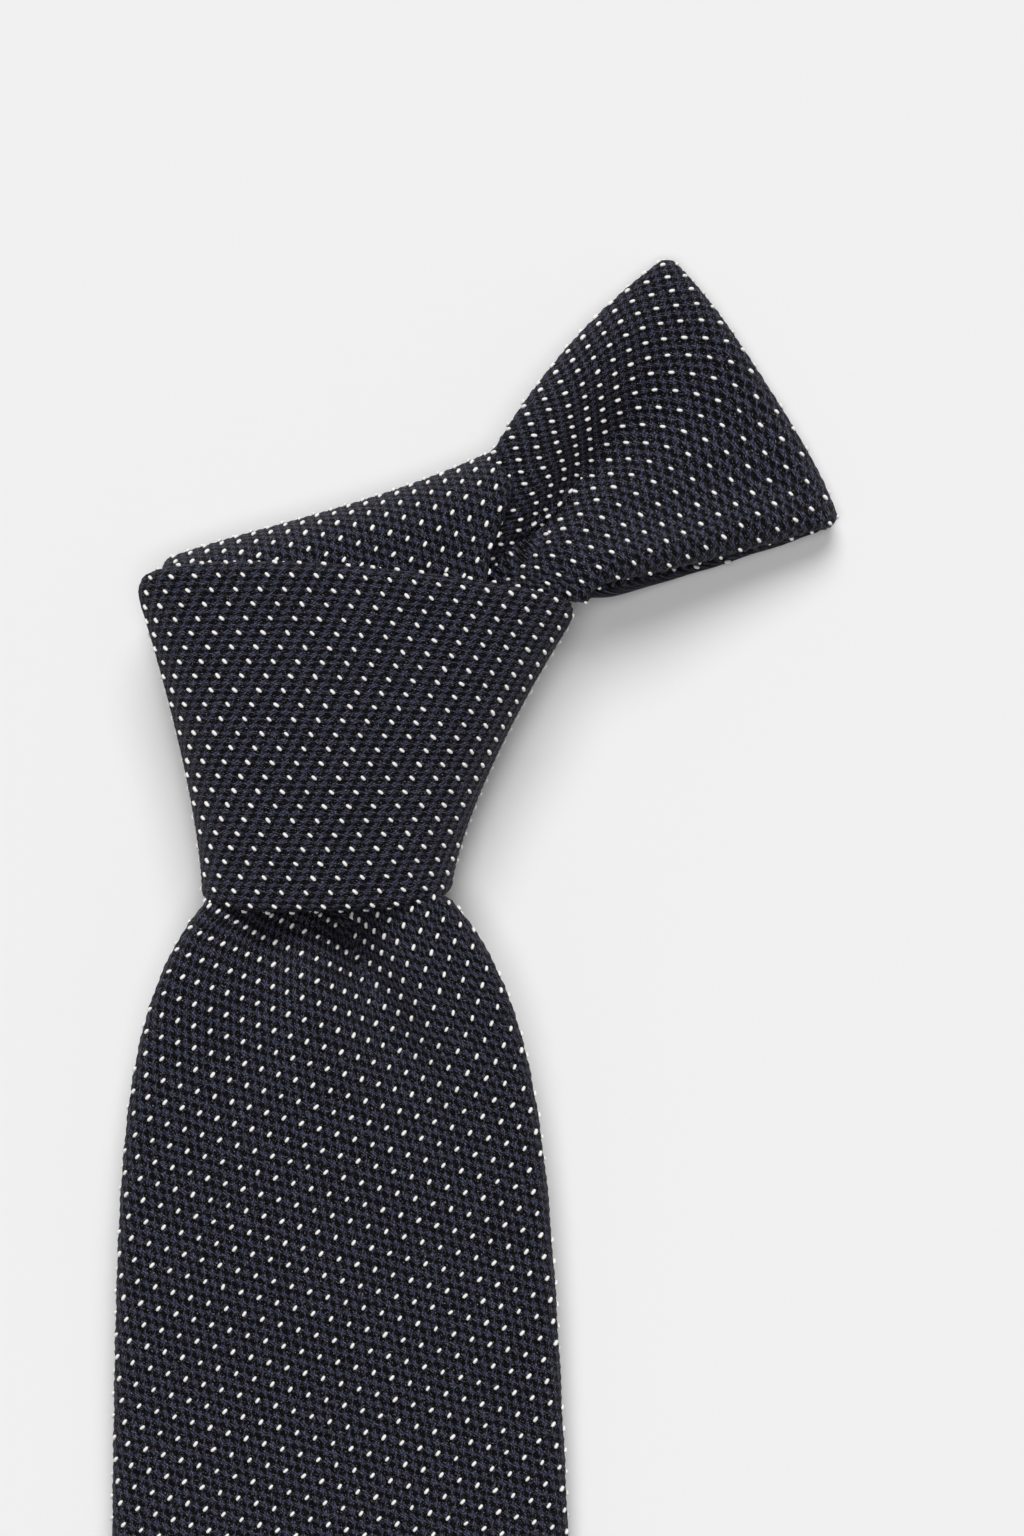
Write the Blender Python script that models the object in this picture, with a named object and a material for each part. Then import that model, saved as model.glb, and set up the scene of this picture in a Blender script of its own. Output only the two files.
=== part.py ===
"""A silk grenadine necktie, tied in a four-in-hand knot and laid flat on its back.

The frame: the tie lies on the plane Z = 0 with its front up, the blades run towards -Y, and the
origin is on the underside of the knot. All lengths are in millimetres until a mesh is made.

The tie is one long folded band. It is modelled as it comes out of the knot: a C-shaped shell,
open along its back seam, round a strip of wool interlining, with a tipping of lining silk in the
pointed ends. Where the band bends, it is divided, so that the blade lifts at the knot's mouth,
the tail slides through the knot, and the neck loop runs out and in.
"""

import math

import bmesh
import bpy
from mathutils import Matrix, Vector

MM = 0.001

# Cloth
GAP = 0.3  # between pieces that touch
SEAM_HALF = 0.8  # half the opening of the back seam
BLADE_THICK = 4.0
BLADE_WALL = 0.8
TAIL_THICK = 3.6
TAIL_WALL = 0.7
PASS_THICK = 3.0  # a layer of the knot
PASS_WALL = 0.7
NECK_THICK = 2.4
NECK_WALL = 0.6
TIPPING_THICK = 0.4
TRIM_THICK = 0.4  # labels
KEEPER_THICK = 0.7
THREAD_RADIUS = 0.2
ARC_STEPS = 4  # facets round a folded edge
HEM = 9.0  # width of the hem that holds the tipping

# Knot, seen from the front
MOUTH_Y = -19.6  # where the blade comes out of the knot
WRAP_LEFT_TOP = (-23.4, 18.7)
WRAP_LEFT_FOOT = (-14.8, -18.4)
WRAP_RIGHT_TOP = (30.8, 16.6)
WRAP_RIGHT_FOOT = (14.8, -18.4)
WRAP_TOP_BOW = 3.1  # how far the upper edge arches above its corners
WRAP_FOOT_BOW = 2.0
WRAP_ROLL = 3.0  # radius of the turn round the knot's sides
BACK_WRAP_TOP_Y = 4.3
CROSS_TOP_Y = 3.0
CROSS_FOOT_Y = -17.0
CREST_LEFT = (-19.4, 20.9)  # the fold over the top of the knot
CREST_RIGHT = (19.6, 34.4)
CREST_ROLL = 2.0
CHANNEL_CLEARANCE = 0.8
CHANNEL_HALF = WRAP_RIGHT_FOOT[0] - PASS_THICK - CHANNEL_CLEARANCE  # of the pass at the mouth

# Front blade
BLADE_LENGTH = 575.0  # from the mouth to the tip
BLADE_HALF = 40.0  # at its widest
BLADE_POINT = 40.0  # height of the pointed end
BLADE_START = 1.6  # from the mouth to the first section
BLADE_MOUTH_HALF = 14.8
BLADE_SPREAD = 12.7  # how quickly the blade opens below the knot
BLADE_TAPER = 0.0285
BLADE_LEAN = math.radians(0.9)
BLADE_FALL = (4.0, 90.0)  # the stretch in which it comes down to the tail
BLADE_LIFT_AXIS = 4.0  # from the mouth to the line it lifts about
BLADE_TACK_ABOVE_TIP = 95.0

# Tail
TAIL_LENGTH = 545.0
TAIL_HALF = 23.0
TAIL_POINT = 23.0
TAIL_MOUTH_HALF = 8.0
TAIL_OPEN_HALF = 17.0  # where it has spread below the knot
TAIL_SPREAD = (12.0, 60.0)
TAIL_FALL = (46.0, 88.0)
TAIL_TOP = 9.5  # how far its end stands inside the knot
TAIL_TACK_ABOVE_TIP = 70.0

# Neck loop
LOOP_ANGLE = math.radians(32.7)
LOOP_PINCH = (25.2, 25.5)  # where it leaves the knot
LOOP_LENGTH = 29.4  # from there to its folded end
LOOP_PINCH_HALF = 10.4
LOOP_HALF = 18.55  # half the width of the neck
LOOP_TONGUE_HALF = 6.6  # inside the knot
LOOP_TONGUE = 22.0
LOOP_TURN = 1.8  # radius of the fold, at the middle of the cloth

# Trim on the back of the blade, from the tip
KEEPER_ABOVE_TIP = 168.0
KEEPER_SIZE = (52.0, 14.0)
LABEL_ABOVE_TIP = 205.0
LABEL_SIZE = (44.0, 24.0)
CARE_ABOVE_TIP = 140.0
CARE_SIZE = (16.0, 22.0)
TACK_SIZE = (9.0, 1.4, 0.6)
TACK_DROP = 0.3  # how far down the parting hems the tail's tack sits
STITCH_PITCH = 12.0

# Heights of the layers, from the table up
BACK_Z = PASS_THICK / 2
TAIL_CHANNEL_Z = PASS_THICK + GAP + TAIL_THICK / 2
CROSS_LOW_Z = PASS_THICK + GAP + TAIL_THICK + GAP
CROSS_Z = CROSS_LOW_Z + PASS_THICK / 2
LOOP_LOW_Z = CROSS_LOW_Z + NECK_THICK / 2
LOOP_HIGH_Z = LOOP_LOW_Z + NECK_THICK + GAP
DOWN_HIGH_Z = max(LOOP_HIGH_Z + NECK_THICK / 2, CROSS_LOW_Z + PASS_THICK) + GAP + PASS_THICK / 2
DOWN_LOW_Z = CROSS_LOW_Z + PASS_THICK + GAP + PASS_THICK / 2
WRAP_Z = DOWN_HIGH_Z + PASS_THICK + GAP
WALL_FOOT_Z = PASS_THICK + GAP
BLADE_MOUTH_Z = CROSS_LOW_Z + PASS_THICK + GAP + BLADE_THICK / 2
TAIL_REST_Z = TAIL_THICK / 2
BLADE_REST_Z = TAIL_THICK + GAP + KEEPER_THICK + 2 * GAP + BLADE_THICK / 2


def clear_scene():
    for old in list(bpy.data.objects):
        bpy.data.objects.remove(old, do_unlink=True)


def make_material(name, colour, roughness):
    material = bpy.data.materials.new(name)
    material.use_nodes = True
    shader = material.node_tree.nodes["Principled BSDF"]
    shader.inputs["Base Color"].default_value = (*colour, 1.0)
    shader.inputs["Roughness"].default_value = roughness
    return material


def smoothstep(value, start, end):
    t = min(1.0, max(0.0, (value - start) / (end - start)))
    return t * t * (3.0 - 2.0 * t)


def mix(a, b, t):
    return a + (b - a) * t


def shell_section(half_width, thick, wall, seam_half):
    """A folded band in section: a flat C with round edges, open at the back seam, below."""
    radius = thick / 2
    side = half_width - radius
    seam = min(seam_half, 0.5 * side)

    def arc(sign, r, backwards):
        turns = [math.pi * (i / ARC_STEPS - 0.5) for i in range(ARC_STEPS + 1)]
        if backwards:
            turns.reverse()
        return [(sign * (side + r * math.cos(a)), r * math.sin(a)) for a in turns]

    inner = radius - wall
    outline = [(seam, -radius)] + arc(1, radius, False) + arc(-1, radius, True)
    outline += [(-seam, -radius), (-seam, -inner)]
    outline += arc(-1, inner, False) + arc(1, inner, True) + [(seam, -inner)]
    return outline


def strip_section(half_width, low, high):
    """A flat strip in section, between two heights."""
    return [(half_width, low), (half_width, high), (-half_width, high), (-half_width, low)]


def place(centre, across, up, section):
    return [centre + across * a + up * b for a, b in section]


def loft(name, rings, material):
    """Joins rings of equal length into one closed solid."""
    mesh = bmesh.new()
    rows = [[mesh.verts.new(point * MM) for point in ring] for ring in rings]
    count = len(rows[0])
    for row, after in zip(rows, rows[1:]):
        for i in range(count):
            j = (i + 1) % count
            mesh.faces.new((row[i], row[j], after[j], after[i]))
    mesh.faces.new(rows[0])
    mesh.faces.new(rows[-1])
    bmesh.ops.recalc_face_normals(mesh, faces=mesh.faces)
    return add_object(name, mesh, material)


def add_object(name, mesh, material):
    data = bpy.data.meshes.new(name)
    mesh.to_mesh(data)
    mesh.free()
    data.materials.append(material)
    piece = bpy.data.objects.new(name, data)
    bpy.context.scene.collection.objects.link(piece)
    return piece


def add_block(name, centre, size, material):
    mesh = bmesh.new()
    bmesh.ops.create_cube(mesh, size=1.0)
    bmesh.ops.scale(mesh, vec=Vector(size) * MM, verts=mesh.verts)
    bmesh.ops.translate(mesh, vec=Vector(centre) * MM, verts=mesh.verts)
    return add_object(name, mesh, material)


def interlining_heights(thick, wall, tipping):
    """The strip lies under the face cloth, and over the tipping where there is one."""
    below = TIPPING_THICK + GAP if tipping else 0.0
    return -thick / 2 + wall + GAP + below, thick / 2 - wall - GAP


class Blade:
    """A blade that hangs from the knot: its places and widths by distance from the mouth."""

    def __init__(self, length, half, point, thick, wall, tack, centre, half_at, start):
        self.length = length
        self.half = half
        self.point = point
        self.thick = thick
        self.wall = wall
        self.tack = length - tack
        self.centre = centre
        self.half_at = half_at
        self.start = start

    def width(self, s):
        """Half the width: the open blade, cut to a point at its end."""
        to_point = self.half * (self.length - s) / self.point + self.thick / 2
        return max(self.thick * 0.65, min(self.half_at(s), to_point))

    def seam(self, s):
        """Half the opening at the back: the seam, then the hems that part below the tack."""
        if s <= self.tack:
            return SEAM_HALF
        apart = smoothstep(s, self.tack, self.length - self.point)
        return max(SEAM_HALF, apart * (self.width(s) - HEM))

    def stations(self, end_inset):
        """Closer together near the knot and at the point."""
        near = [self.start + d for d in (0, 3, 7, 12, 20, 32, 46, 60, 75, 92)]
        shoulder = self.length - self.point
        far = [mix(near[-1], self.tack, t) for t in (0.33, 0.66, 1.0)]
        hem = [mix(self.tack, shoulder, t) for t in (0.35, 0.7, 1.0)]
        tip = [mix(shoulder, self.length, t) for t in (0.3, 0.55, 0.78)]
        return near + far + hem + tip + [self.length - end_inset]

    def ring(self, s, section, shear=0.0):
        return place(self.centre(s), Vector((1, shear, 0)), Vector((0, 0, 1)), section)

    def shell(self, name, material, shear=0.0):
        rings = []
        for i, s in enumerate(self.stations(0.0)):
            section = shell_section(self.width(s), self.thick, self.wall, self.seam(s))
            rings.append(self.ring(s, section, shear if i < 2 else 0.0))
        return loft(name, rings, material)

    def interlining(self, name, material, shear=0.0):
        low, high = interlining_heights(self.thick, self.wall, True)
        rings = []
        for i, s in enumerate(self.stations(self.point * 0.15)):
            half = self.width(s) - self.thick / 2
            rings.append(self.ring(s, strip_section(half, low, high), shear if i < 2 else 0.0))
        return loft(name, rings, material)

    def tipping(self, name, material):
        low = -self.thick / 2 + self.wall + GAP
        shoulder = self.length - self.point
        places = [mix(self.tack - 4, shoulder, t) for t in (0.0, 0.2, 0.5, 0.8, 1.0)]
        places += [mix(shoulder, self.length, t) for t in (0.4, 0.8)]
        rings = []
        for s in places:
            half = min(self.seam(s) + HEM * 0.6, self.width(s) - self.thick / 2 - GAP)
            rings.append(self.ring(s, strip_section(half, low, low + TIPPING_THICK)))
        return loft(name, rings, material)

    def back_z(self, s):
        return self.centre(s).z - self.thick / 2

    def slip_stitch(self, name, material):
        """One thread that zigzags in the opening of the back seam, down to the tack."""
        first = self.start + 40.0
        count = int((self.tack - 6.0 - first) / STITCH_PITCH)
        swing = SEAM_HALF - THREAD_RADIUS - GAP
        rings = []
        for i in range(count + 1):
            s = first + i * STITCH_PITCH
            centre = self.centre(s) + Vector((swing * (-1) ** i, 0, self.wall / 2 - self.thick / 2))
            turns = [2 * math.pi * k / 6 for k in range(6)]
            circle = [(THREAD_RADIUS * math.cos(a), THREAD_RADIUS * math.sin(a)) for a in turns]
            rings.append(place(centre, Vector((1, 0, 0)), Vector((0, 0, 1)), circle))
        return loft(name, rings, material)

    def tack_in_opening(self, name, material):
        """A short bar between the hems, where they begin to part."""
        s = mix(self.tack, self.length - self.point, TACK_DROP)
        centre = self.centre(s)
        size = (2 * (self.seam(s) - GAP), TACK_SIZE[1], self.wall - GAP)
        middle = (centre.x, centre.y, self.back_z(s) + self.wall / 2)
        return add_block(name, middle, size, material)

    def on_back(self, name, above_tip, size, thick, material, aside=0.0):
        """A flat piece sewn to the back, a gap below it."""
        s = self.length - above_tip
        centre = self.centre(s)
        z = self.back_z(s) - GAP - thick / 2
        return add_block(name, (centre.x + aside, centre.y, z), (size[0], size[1], thick), material)


def blade_half(s):
    """Opens quickly below the knot and then by the blade's own taper."""
    straight = BLADE_HALF - BLADE_TAPER * (BLADE_LENGTH - BLADE_POINT)
    pinch = (straight - BLADE_MOUTH_HALF) * math.exp(-s / BLADE_SPREAD)
    return min(BLADE_HALF, straight + BLADE_TAPER * s - pinch)


def blade_centre(s):
    z = mix(BLADE_MOUTH_Z, BLADE_REST_Z, smoothstep(s, *BLADE_FALL))
    return Vector((s * math.tan(BLADE_LEAN), MOUTH_Y - s, z))


def tail_half(s):
    spread = mix(TAIL_MOUTH_HALF, TAIL_OPEN_HALF, smoothstep(s, *TAIL_SPREAD))
    taper = (TAIL_HALF - TAIL_OPEN_HALF) * max(0.0, s) / (TAIL_LENGTH - TAIL_POINT)
    return min(TAIL_HALF, spread + taper)


def tail_centre(s):
    z = mix(TAIL_CHANNEL_Z, TAIL_REST_Z, smoothstep(s, *TAIL_FALL))
    return Vector((0, MOUTH_Y - s, z))


def band_rings(edges, section):
    """Rings along a band: each place is its two edge points, and up points out of the bend.

    edges holds (first, second) points, and section is a function of half the width.
    """
    centres = [(a + b) / 2 for a, b in edges]
    rings = []
    for i, (first, second) in enumerate(edges):
        along = centres[min(i + 1, len(edges) - 1)] - centres[max(i - 1, 0)]
        across = (first - second).normalized()
        up = along.cross(across).normalized()
        half = (first - second).length / 2
        rings.append(place(centres[i], across, up, section(half)))
    return rings


def pass_shell(half):
    return shell_section(half, PASS_THICK, PASS_WALL, SEAM_HALF)


def pass_lining(half):
    return strip_section(half - PASS_THICK / 2, *interlining_heights(PASS_THICK, PASS_WALL, False))


def at(point, z, dx=0.0, dy=0.0):
    return Vector((point[0] + dx, point[1] + dy, z))


def wrap_edges():
    """Up the knot's left side, across its front and down its right side."""
    inset = PASS_THICK / 2
    turn_z = WRAP_Z - WRAP_ROLL
    corner = [math.radians(a) for a in (0, 30, 60, 90)]
    rise = [(inset, WALL_FOOT_Z), (inset, mix(WALL_FOOT_Z, turn_z, 0.5))]
    rise += [
        (inset + WRAP_ROLL * (1 - math.cos(a)), turn_z + WRAP_ROLL * math.sin(a)) for a in corner
    ]
    left = [(at(WRAP_LEFT_TOP, z, dx=d), at(WRAP_LEFT_FOOT, z, dx=d)) for d, z in rise]
    right = [(at(WRAP_RIGHT_TOP, z, dx=-d), at(WRAP_RIGHT_FOOT, z, dx=-d)) for d, z in rise]
    front = []
    for i in range(1, 6):
        t = i / 6
        bow = 4 * t * (1 - t)
        top = mix(left[-1][0], right[-1][0], t) + Vector((0, WRAP_TOP_BOW * bow, 0))
        foot = mix(left[-1][1], right[-1][1], t) - Vector((0, WRAP_FOOT_BOW * bow, 0))
        front.append((top, foot))
    return left + front + right[::-1]


def over_top_edges():
    """From behind the knot, over its crest, and down inside the front wrap to the mouth."""
    crest = Vector(CREST_RIGHT) - Vector(CREST_LEFT)
    inward = Vector((crest.y, -crest.x)).normalized()
    start_y = BACK_WRAP_TOP_Y + GAP
    edges = [
        (Vector((-18.2, start_y, BACK_Z)), Vector((CREST_RIGHT[0] - 0.6, start_y, BACK_Z))),
        (Vector((-18.9, start_y + 7.0, BACK_Z)), Vector((CREST_RIGHT[0], start_y + 9.0, BACK_Z))),
    ]
    middle = (BACK_Z + DOWN_HIGH_Z) / 2
    reach = (DOWN_HIGH_Z - BACK_Z) / 2
    for angle in (-90, -60, -30, 0, 30, 60, 90):
        a = math.radians(angle)
        inset = PASS_THICK / 2 + CREST_ROLL * (1 - math.cos(a))
        z = middle + reach * math.sin(a)
        shift = inward * inset
        edges.append(
            (
                at(CREST_LEFT, z, shift.x, shift.y),
                at(CREST_RIGHT, z, shift.x, shift.y),
            )
        )
    ends = [((-18.6, 14.0), (19.0, 19.0)), ((-16.2, 5.0), (16.0, 8.0))]
    edges += [(at(left, DOWN_HIGH_Z), at(right, DOWN_HIGH_Z)) for left, right in ends]
    for y in (-6.0, MOUTH_Y - 1.1):
        z = mix(DOWN_HIGH_Z, DOWN_LOW_Z, smoothstep(-y, -6.0, -MOUTH_Y))
        edges.append((Vector((-CHANNEL_HALF, y, z)), Vector((CHANNEL_HALF, y, z))))
    return edges


def flat_edges(z, top_y, foot_y, left_top, left_foot, right_top, right_foot):
    """A layer that lies flat, from its left end to its right."""
    ends = ((left_top, left_foot), (right_top, right_foot))
    return [(Vector((top, top_y, z)), Vector((foot, foot_y, z))) for top, foot in ends]


def wrap_side(top, foot, y):
    """Where the outer side of the wrap stands at y."""
    return mix(foot[0], top[0], (y - foot[1]) / (top[1] - foot[1]))


def add_pass(name, edges, shell_material, lining_material):
    loft(name, band_rings(edges, pass_shell), shell_material)
    loft(name + "_interlining", band_rings(edges, pass_lining), lining_material)


def add_knot(silk, wool):
    add_pass("front_wrap", wrap_edges(), silk, wool)
    add_pass("over_top_pass", [(b, a) for a, b in over_top_edges()], silk, wool)
    inside = PASS_THICK + 2 * GAP
    cross = flat_edges(
        CROSS_Z,
        CROSS_TOP_Y,
        CROSS_FOOT_Y,
        wrap_side(WRAP_LEFT_TOP, WRAP_LEFT_FOOT, CROSS_TOP_Y) + inside,
        wrap_side(WRAP_LEFT_TOP, WRAP_LEFT_FOOT, CROSS_FOOT_Y) + inside,
        wrap_side(WRAP_RIGHT_TOP, WRAP_RIGHT_FOOT, CROSS_TOP_Y) - inside,
        wrap_side(WRAP_RIGHT_TOP, WRAP_RIGHT_FOOT, CROSS_FOOT_Y) - inside,
    )
    add_pass("first_cross", cross, silk, wool)
    back = flat_edges(
        BACK_Z,
        BACK_WRAP_TOP_Y,
        WRAP_LEFT_FOOT[1],
        wrap_side(WRAP_LEFT_TOP, WRAP_LEFT_FOOT, BACK_WRAP_TOP_Y),
        WRAP_LEFT_FOOT[0],
        wrap_side(WRAP_RIGHT_TOP, WRAP_RIGHT_FOOT, BACK_WRAP_TOP_Y),
        WRAP_RIGHT_FOOT[0],
    )
    add_pass("back_wrap", back[::-1], silk, wool)


def loop_half(s):
    """Half the width of the neck loop, from its tongue in the knot to its folded end."""
    if s < 0:
        return LOOP_TONGUE_HALF
    return mix(LOOP_PINCH_HALF, LOOP_HALF, min(1.0, s / (LOOP_LENGTH - 2.0)) ** 0.8)


def loop_path():
    """The side view of the loop as (distance along its axis, height): out, round and back."""
    centre = LOOP_LENGTH - LOOP_TURN - NECK_THICK / 2
    low = NECK_THICK / 2
    high = low + 2 * LOOP_TURN
    places = [-LOOP_TONGUE, -10.0, -0.6, 0.6, 4.0, 9.0, 14.0, 19.0, 23.0, centre]

    def fall(s):
        return smoothstep(s, 2.0, 23.5)

    out = [(s, mix(LOOP_LOW_Z, low, fall(s))) for s in places]
    turn = [math.radians(a) for a in (-60, -30, 0, 30, 60)]
    bend = [
        (centre + LOOP_TURN * math.cos(a), low + LOOP_TURN + LOOP_TURN * math.sin(a)) for a in turn
    ]
    back = [(s, mix(LOOP_HIGH_Z, high, fall(s))) for s in reversed(places)]
    return out + bend + back


def loop_rings(section):
    """Rings along the loop, whose back seam faces the inside of the fold."""
    path = loop_path()
    axis = Vector((math.cos(LOOP_ANGLE), math.sin(LOOP_ANGLE), 0))
    across = Vector((-axis.y, axis.x, 0))
    pinch = Vector((*LOOP_PINCH, 0))
    rings = []
    for i, (s, z) in enumerate(path):
        before = path[max(i - 1, 0)]
        after = path[min(i + 1, len(path) - 1)]
        run = Vector((after[0] - before[0], after[1] - before[1])).normalized()
        out = axis * run.y + Vector((0, 0, -run.x))
        centre = pinch + axis * s + Vector((0, 0, z))
        rings.append(place(centre, across, out, section(loop_half(s))))
    return rings


def neck_shell(half):
    return shell_section(half, NECK_THICK, NECK_WALL, SEAM_HALF)


def neck_lining(half):
    return strip_section(half - NECK_THICK / 2, *interlining_heights(NECK_THICK, NECK_WALL, False))


def add_neck_loop(silk, wool):
    loft("neck_shell", loop_rings(neck_shell), silk)
    loft("neck_interlining", loop_rings(neck_lining), wool)


def add_tail(silk, wool, lining, thread):
    crest = Vector(CREST_RIGHT) - Vector(CREST_LEFT)
    tail = Blade(
        TAIL_LENGTH,
        TAIL_HALF,
        TAIL_POINT,
        TAIL_THICK,
        TAIL_WALL,
        TAIL_TACK_ABOVE_TIP,
        tail_centre,
        tail_half,
        -TAIL_TOP,
    )
    tail.shell("tail_shell", silk, crest.y / crest.x)
    tail.interlining("tail_interlining", wool, crest.y / crest.x)
    tail.tipping("tail_tipping", lining)
    tail.slip_stitch("tail_slip_stitch", thread)
    tail.tack_in_opening("tail_bar_tack", thread)


def add_keeper(blade, material):
    """A band across the back, sewn at both ends, that stands off between them."""
    s = blade.length - KEEPER_ABOVE_TIP
    centre = blade.centre(s)
    half_x = KEEPER_SIZE[0] / 2
    half_y = KEEPER_SIZE[1] / 2
    places = ((-1.0, 0.0), (-0.86, 0.0), (-0.78, 1.0), (0.78, 1.0), (0.86, 0.0), (1.0, 0.0))
    top = blade.back_z(s) - GAP
    rings = []
    for x, drop in places:
        high = top - drop * GAP
        middle = Vector((centre.x + x * half_x, centre.y, high - KEEPER_THICK / 2))
        section = strip_section(half_y, -KEEPER_THICK / 2, KEEPER_THICK / 2)
        rings.append(place(middle, Vector((0, 1, 0)), Vector((0, 0, 1)), section))
    return loft("keeper_loop", rings, material)


def hang_from(name, place_mm, prefixes):
    """Parent the pieces that move together to an empty on the joint's axis."""
    empty = bpy.data.objects.new(name, None)
    empty.empty_display_size = 10 * MM
    empty.location = Vector(place_mm) * MM
    bpy.context.scene.collection.objects.link(empty)
    for piece in bpy.context.scene.objects:
        if piece.type == "MESH" and piece.name.startswith(prefixes):
            piece.parent = empty
            piece.matrix_parent_inverse = Matrix.Translation(empty.location).inverted()


def add_front_blade(silk, wool, lining, thread, label):
    blade = Blade(
        BLADE_LENGTH,
        BLADE_HALF,
        BLADE_POINT,
        BLADE_THICK,
        BLADE_WALL,
        BLADE_TACK_ABOVE_TIP,
        blade_centre,
        blade_half,
        BLADE_START,
    )
    blade.shell("front_blade_shell", silk)
    blade.interlining("front_blade_interlining", wool)
    blade.tipping("front_blade_tipping", lining)
    blade.slip_stitch("front_slip_stitch", thread)
    add_keeper(blade, silk)
    blade.on_back("maker_label", LABEL_ABOVE_TIP, LABEL_SIZE, TRIM_THICK, label)
    blade.on_back("care_label", CARE_ABOVE_TIP, CARE_SIZE, TRIM_THICK, label, aside=12.0)
    tack = TACK_SIZE[:2]
    blade.on_back("front_bar_tack", BLADE_TACK_ABOVE_TIP, tack, TACK_SIZE[2], thread)


def main():
    clear_scene()
    silk = make_material("grenadine_silk", (0.012, 0.013, 0.022), 0.75)
    wool = make_material("wool_interlining", (0.62, 0.58, 0.5), 0.95)
    lining = make_material("lining_silk", (0.012, 0.014, 0.03), 0.45)
    thread = make_material("silk_thread", (0.02, 0.022, 0.04), 0.6)
    label = make_material("woven_label", (0.04, 0.045, 0.07), 0.6)
    add_knot(silk, wool)
    add_neck_loop(silk, wool)
    add_tail(silk, wool, lining, thread)
    add_front_blade(silk, wool, lining, thread, label)
    hang_from("tail_slide", (0, 0, TAIL_THICK / 2), ("tail_",))
    hang_from("loop_slide", (*CREST_RIGHT, NECK_THICK), ("neck_",))
    blade_pieces = ("front_", "keeper_", "maker_", "care_")
    lift_axis = (0, MOUTH_Y - BLADE_LIFT_AXIS, BLADE_MOUTH_Z)
    hang_from("blade_lift", lift_axis, blade_pieces)


main()
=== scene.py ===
import math

import bpy
import numpy as np
from bpy.props import FloatProperty, FloatVectorProperty, PointerProperty
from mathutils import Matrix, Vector


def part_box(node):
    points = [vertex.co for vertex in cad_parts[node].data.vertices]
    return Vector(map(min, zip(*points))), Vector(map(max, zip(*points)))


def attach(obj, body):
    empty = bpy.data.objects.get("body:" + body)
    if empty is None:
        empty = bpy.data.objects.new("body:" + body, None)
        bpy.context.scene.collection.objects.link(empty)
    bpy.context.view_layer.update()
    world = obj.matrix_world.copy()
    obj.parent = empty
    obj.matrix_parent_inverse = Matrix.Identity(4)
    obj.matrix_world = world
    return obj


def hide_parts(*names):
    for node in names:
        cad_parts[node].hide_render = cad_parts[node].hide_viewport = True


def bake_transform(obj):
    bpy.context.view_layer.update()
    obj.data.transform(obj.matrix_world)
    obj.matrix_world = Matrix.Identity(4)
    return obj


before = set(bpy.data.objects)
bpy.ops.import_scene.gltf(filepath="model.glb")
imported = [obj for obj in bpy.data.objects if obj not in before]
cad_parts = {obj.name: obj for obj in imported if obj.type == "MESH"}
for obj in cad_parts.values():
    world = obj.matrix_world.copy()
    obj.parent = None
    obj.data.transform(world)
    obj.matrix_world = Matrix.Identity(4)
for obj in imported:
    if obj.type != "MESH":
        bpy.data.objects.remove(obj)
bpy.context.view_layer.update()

bl_info = {
    "name": "Grenadine necktie",
    "version": (1, 0, 0),
    "blender": (4, 5, 0),
    "location": "3D View > Sidebar > Necktie",
    "description": "Builds a silk grenadine necktie, tied in a four-in-hand knot, round its frame",
    "category": "Object",
}

MM = 0.001

# Shapes are worked out in millimetres in the frame's own axes: the tie lies on Z = 0 with its
# front up, and its blades run towards -Y.

# The knot
KNOT_TOP_Z = 18.9
PASS_THICK = 3.0
PASS_WALL = 0.7
CREST_LOW_Z = 1.85
CREST_HIGH_Z = 14.1
CROSS_Z = 8.7

# The blades, by their distance s from the mouth of the knot
MOUTH_Y = -19.6
MOUTH_Z = 12.5
BLADE_LENGTH = 575.0
BLADE_HALF = 40.0
BLADE_POINT = 40.0
BLADE_TAPER = 0.0285
BLADE_REST_Z = 7.2
BLADE_THICK = 4.0
BLADE_WALL = 0.8
BLADE_TACK = BLADE_LENGTH - 95.0
GATHER_REACH = 12.7  # the gathers at the mouth fade to a third in this length
BLADE_LEAN = math.tan(math.radians(0.9))
FINE_END = 76.0  # the relief of the weave is in the mesh up to here
TAIL_LENGTH = 545.0
TAIL_HALF = 23.0
TAIL_POINT = 23.0
TAIL_THICK = 3.6
TAIL_WALL = 0.7
TAIL_TACK = TAIL_LENGTH - 70.0
TAIL_TOP = 9.5
SEAM_HALF = 0.25
TIP_REACH = 0.9  # how far the rounded tips run past the length, before their last row
HEM = 9.0
GAP = 0.3
TIPPING_THICK = 0.4
WOOL_THICK = 0.7
STITCH_PITCH = 12.0
STITCH_SWING = 0.9
THREAD_RADIUS = 0.2
TACK_PITCH = 0.42
TACK_THREAD_RADIUS = 0.19
FINE_THREAD_RADIUS = 0.13

# The neck loop, by s along its axis from the pinch and t across it
LOOP_ANGLE = math.radians(32.7)
LOOP_PINCH = (25.2, 25.5)
LOOP_LENGTH = 30.1
LOOP_THICK = 2.4
LOOP_WALL = 0.6
LOOP_TURN = 1.8

# How finely the bands are cut: over the front, round each edge, and on each side of the seam
KNOT_CUTS = (124, 9, 14)
CROSS_CUTS = (16, 5, 6)
LOOP_CUTS = (128, 9, 12)
BLADE_CUTS = (164, 10, 18)
TAIL_CUTS = (64, 8, 26)

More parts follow.
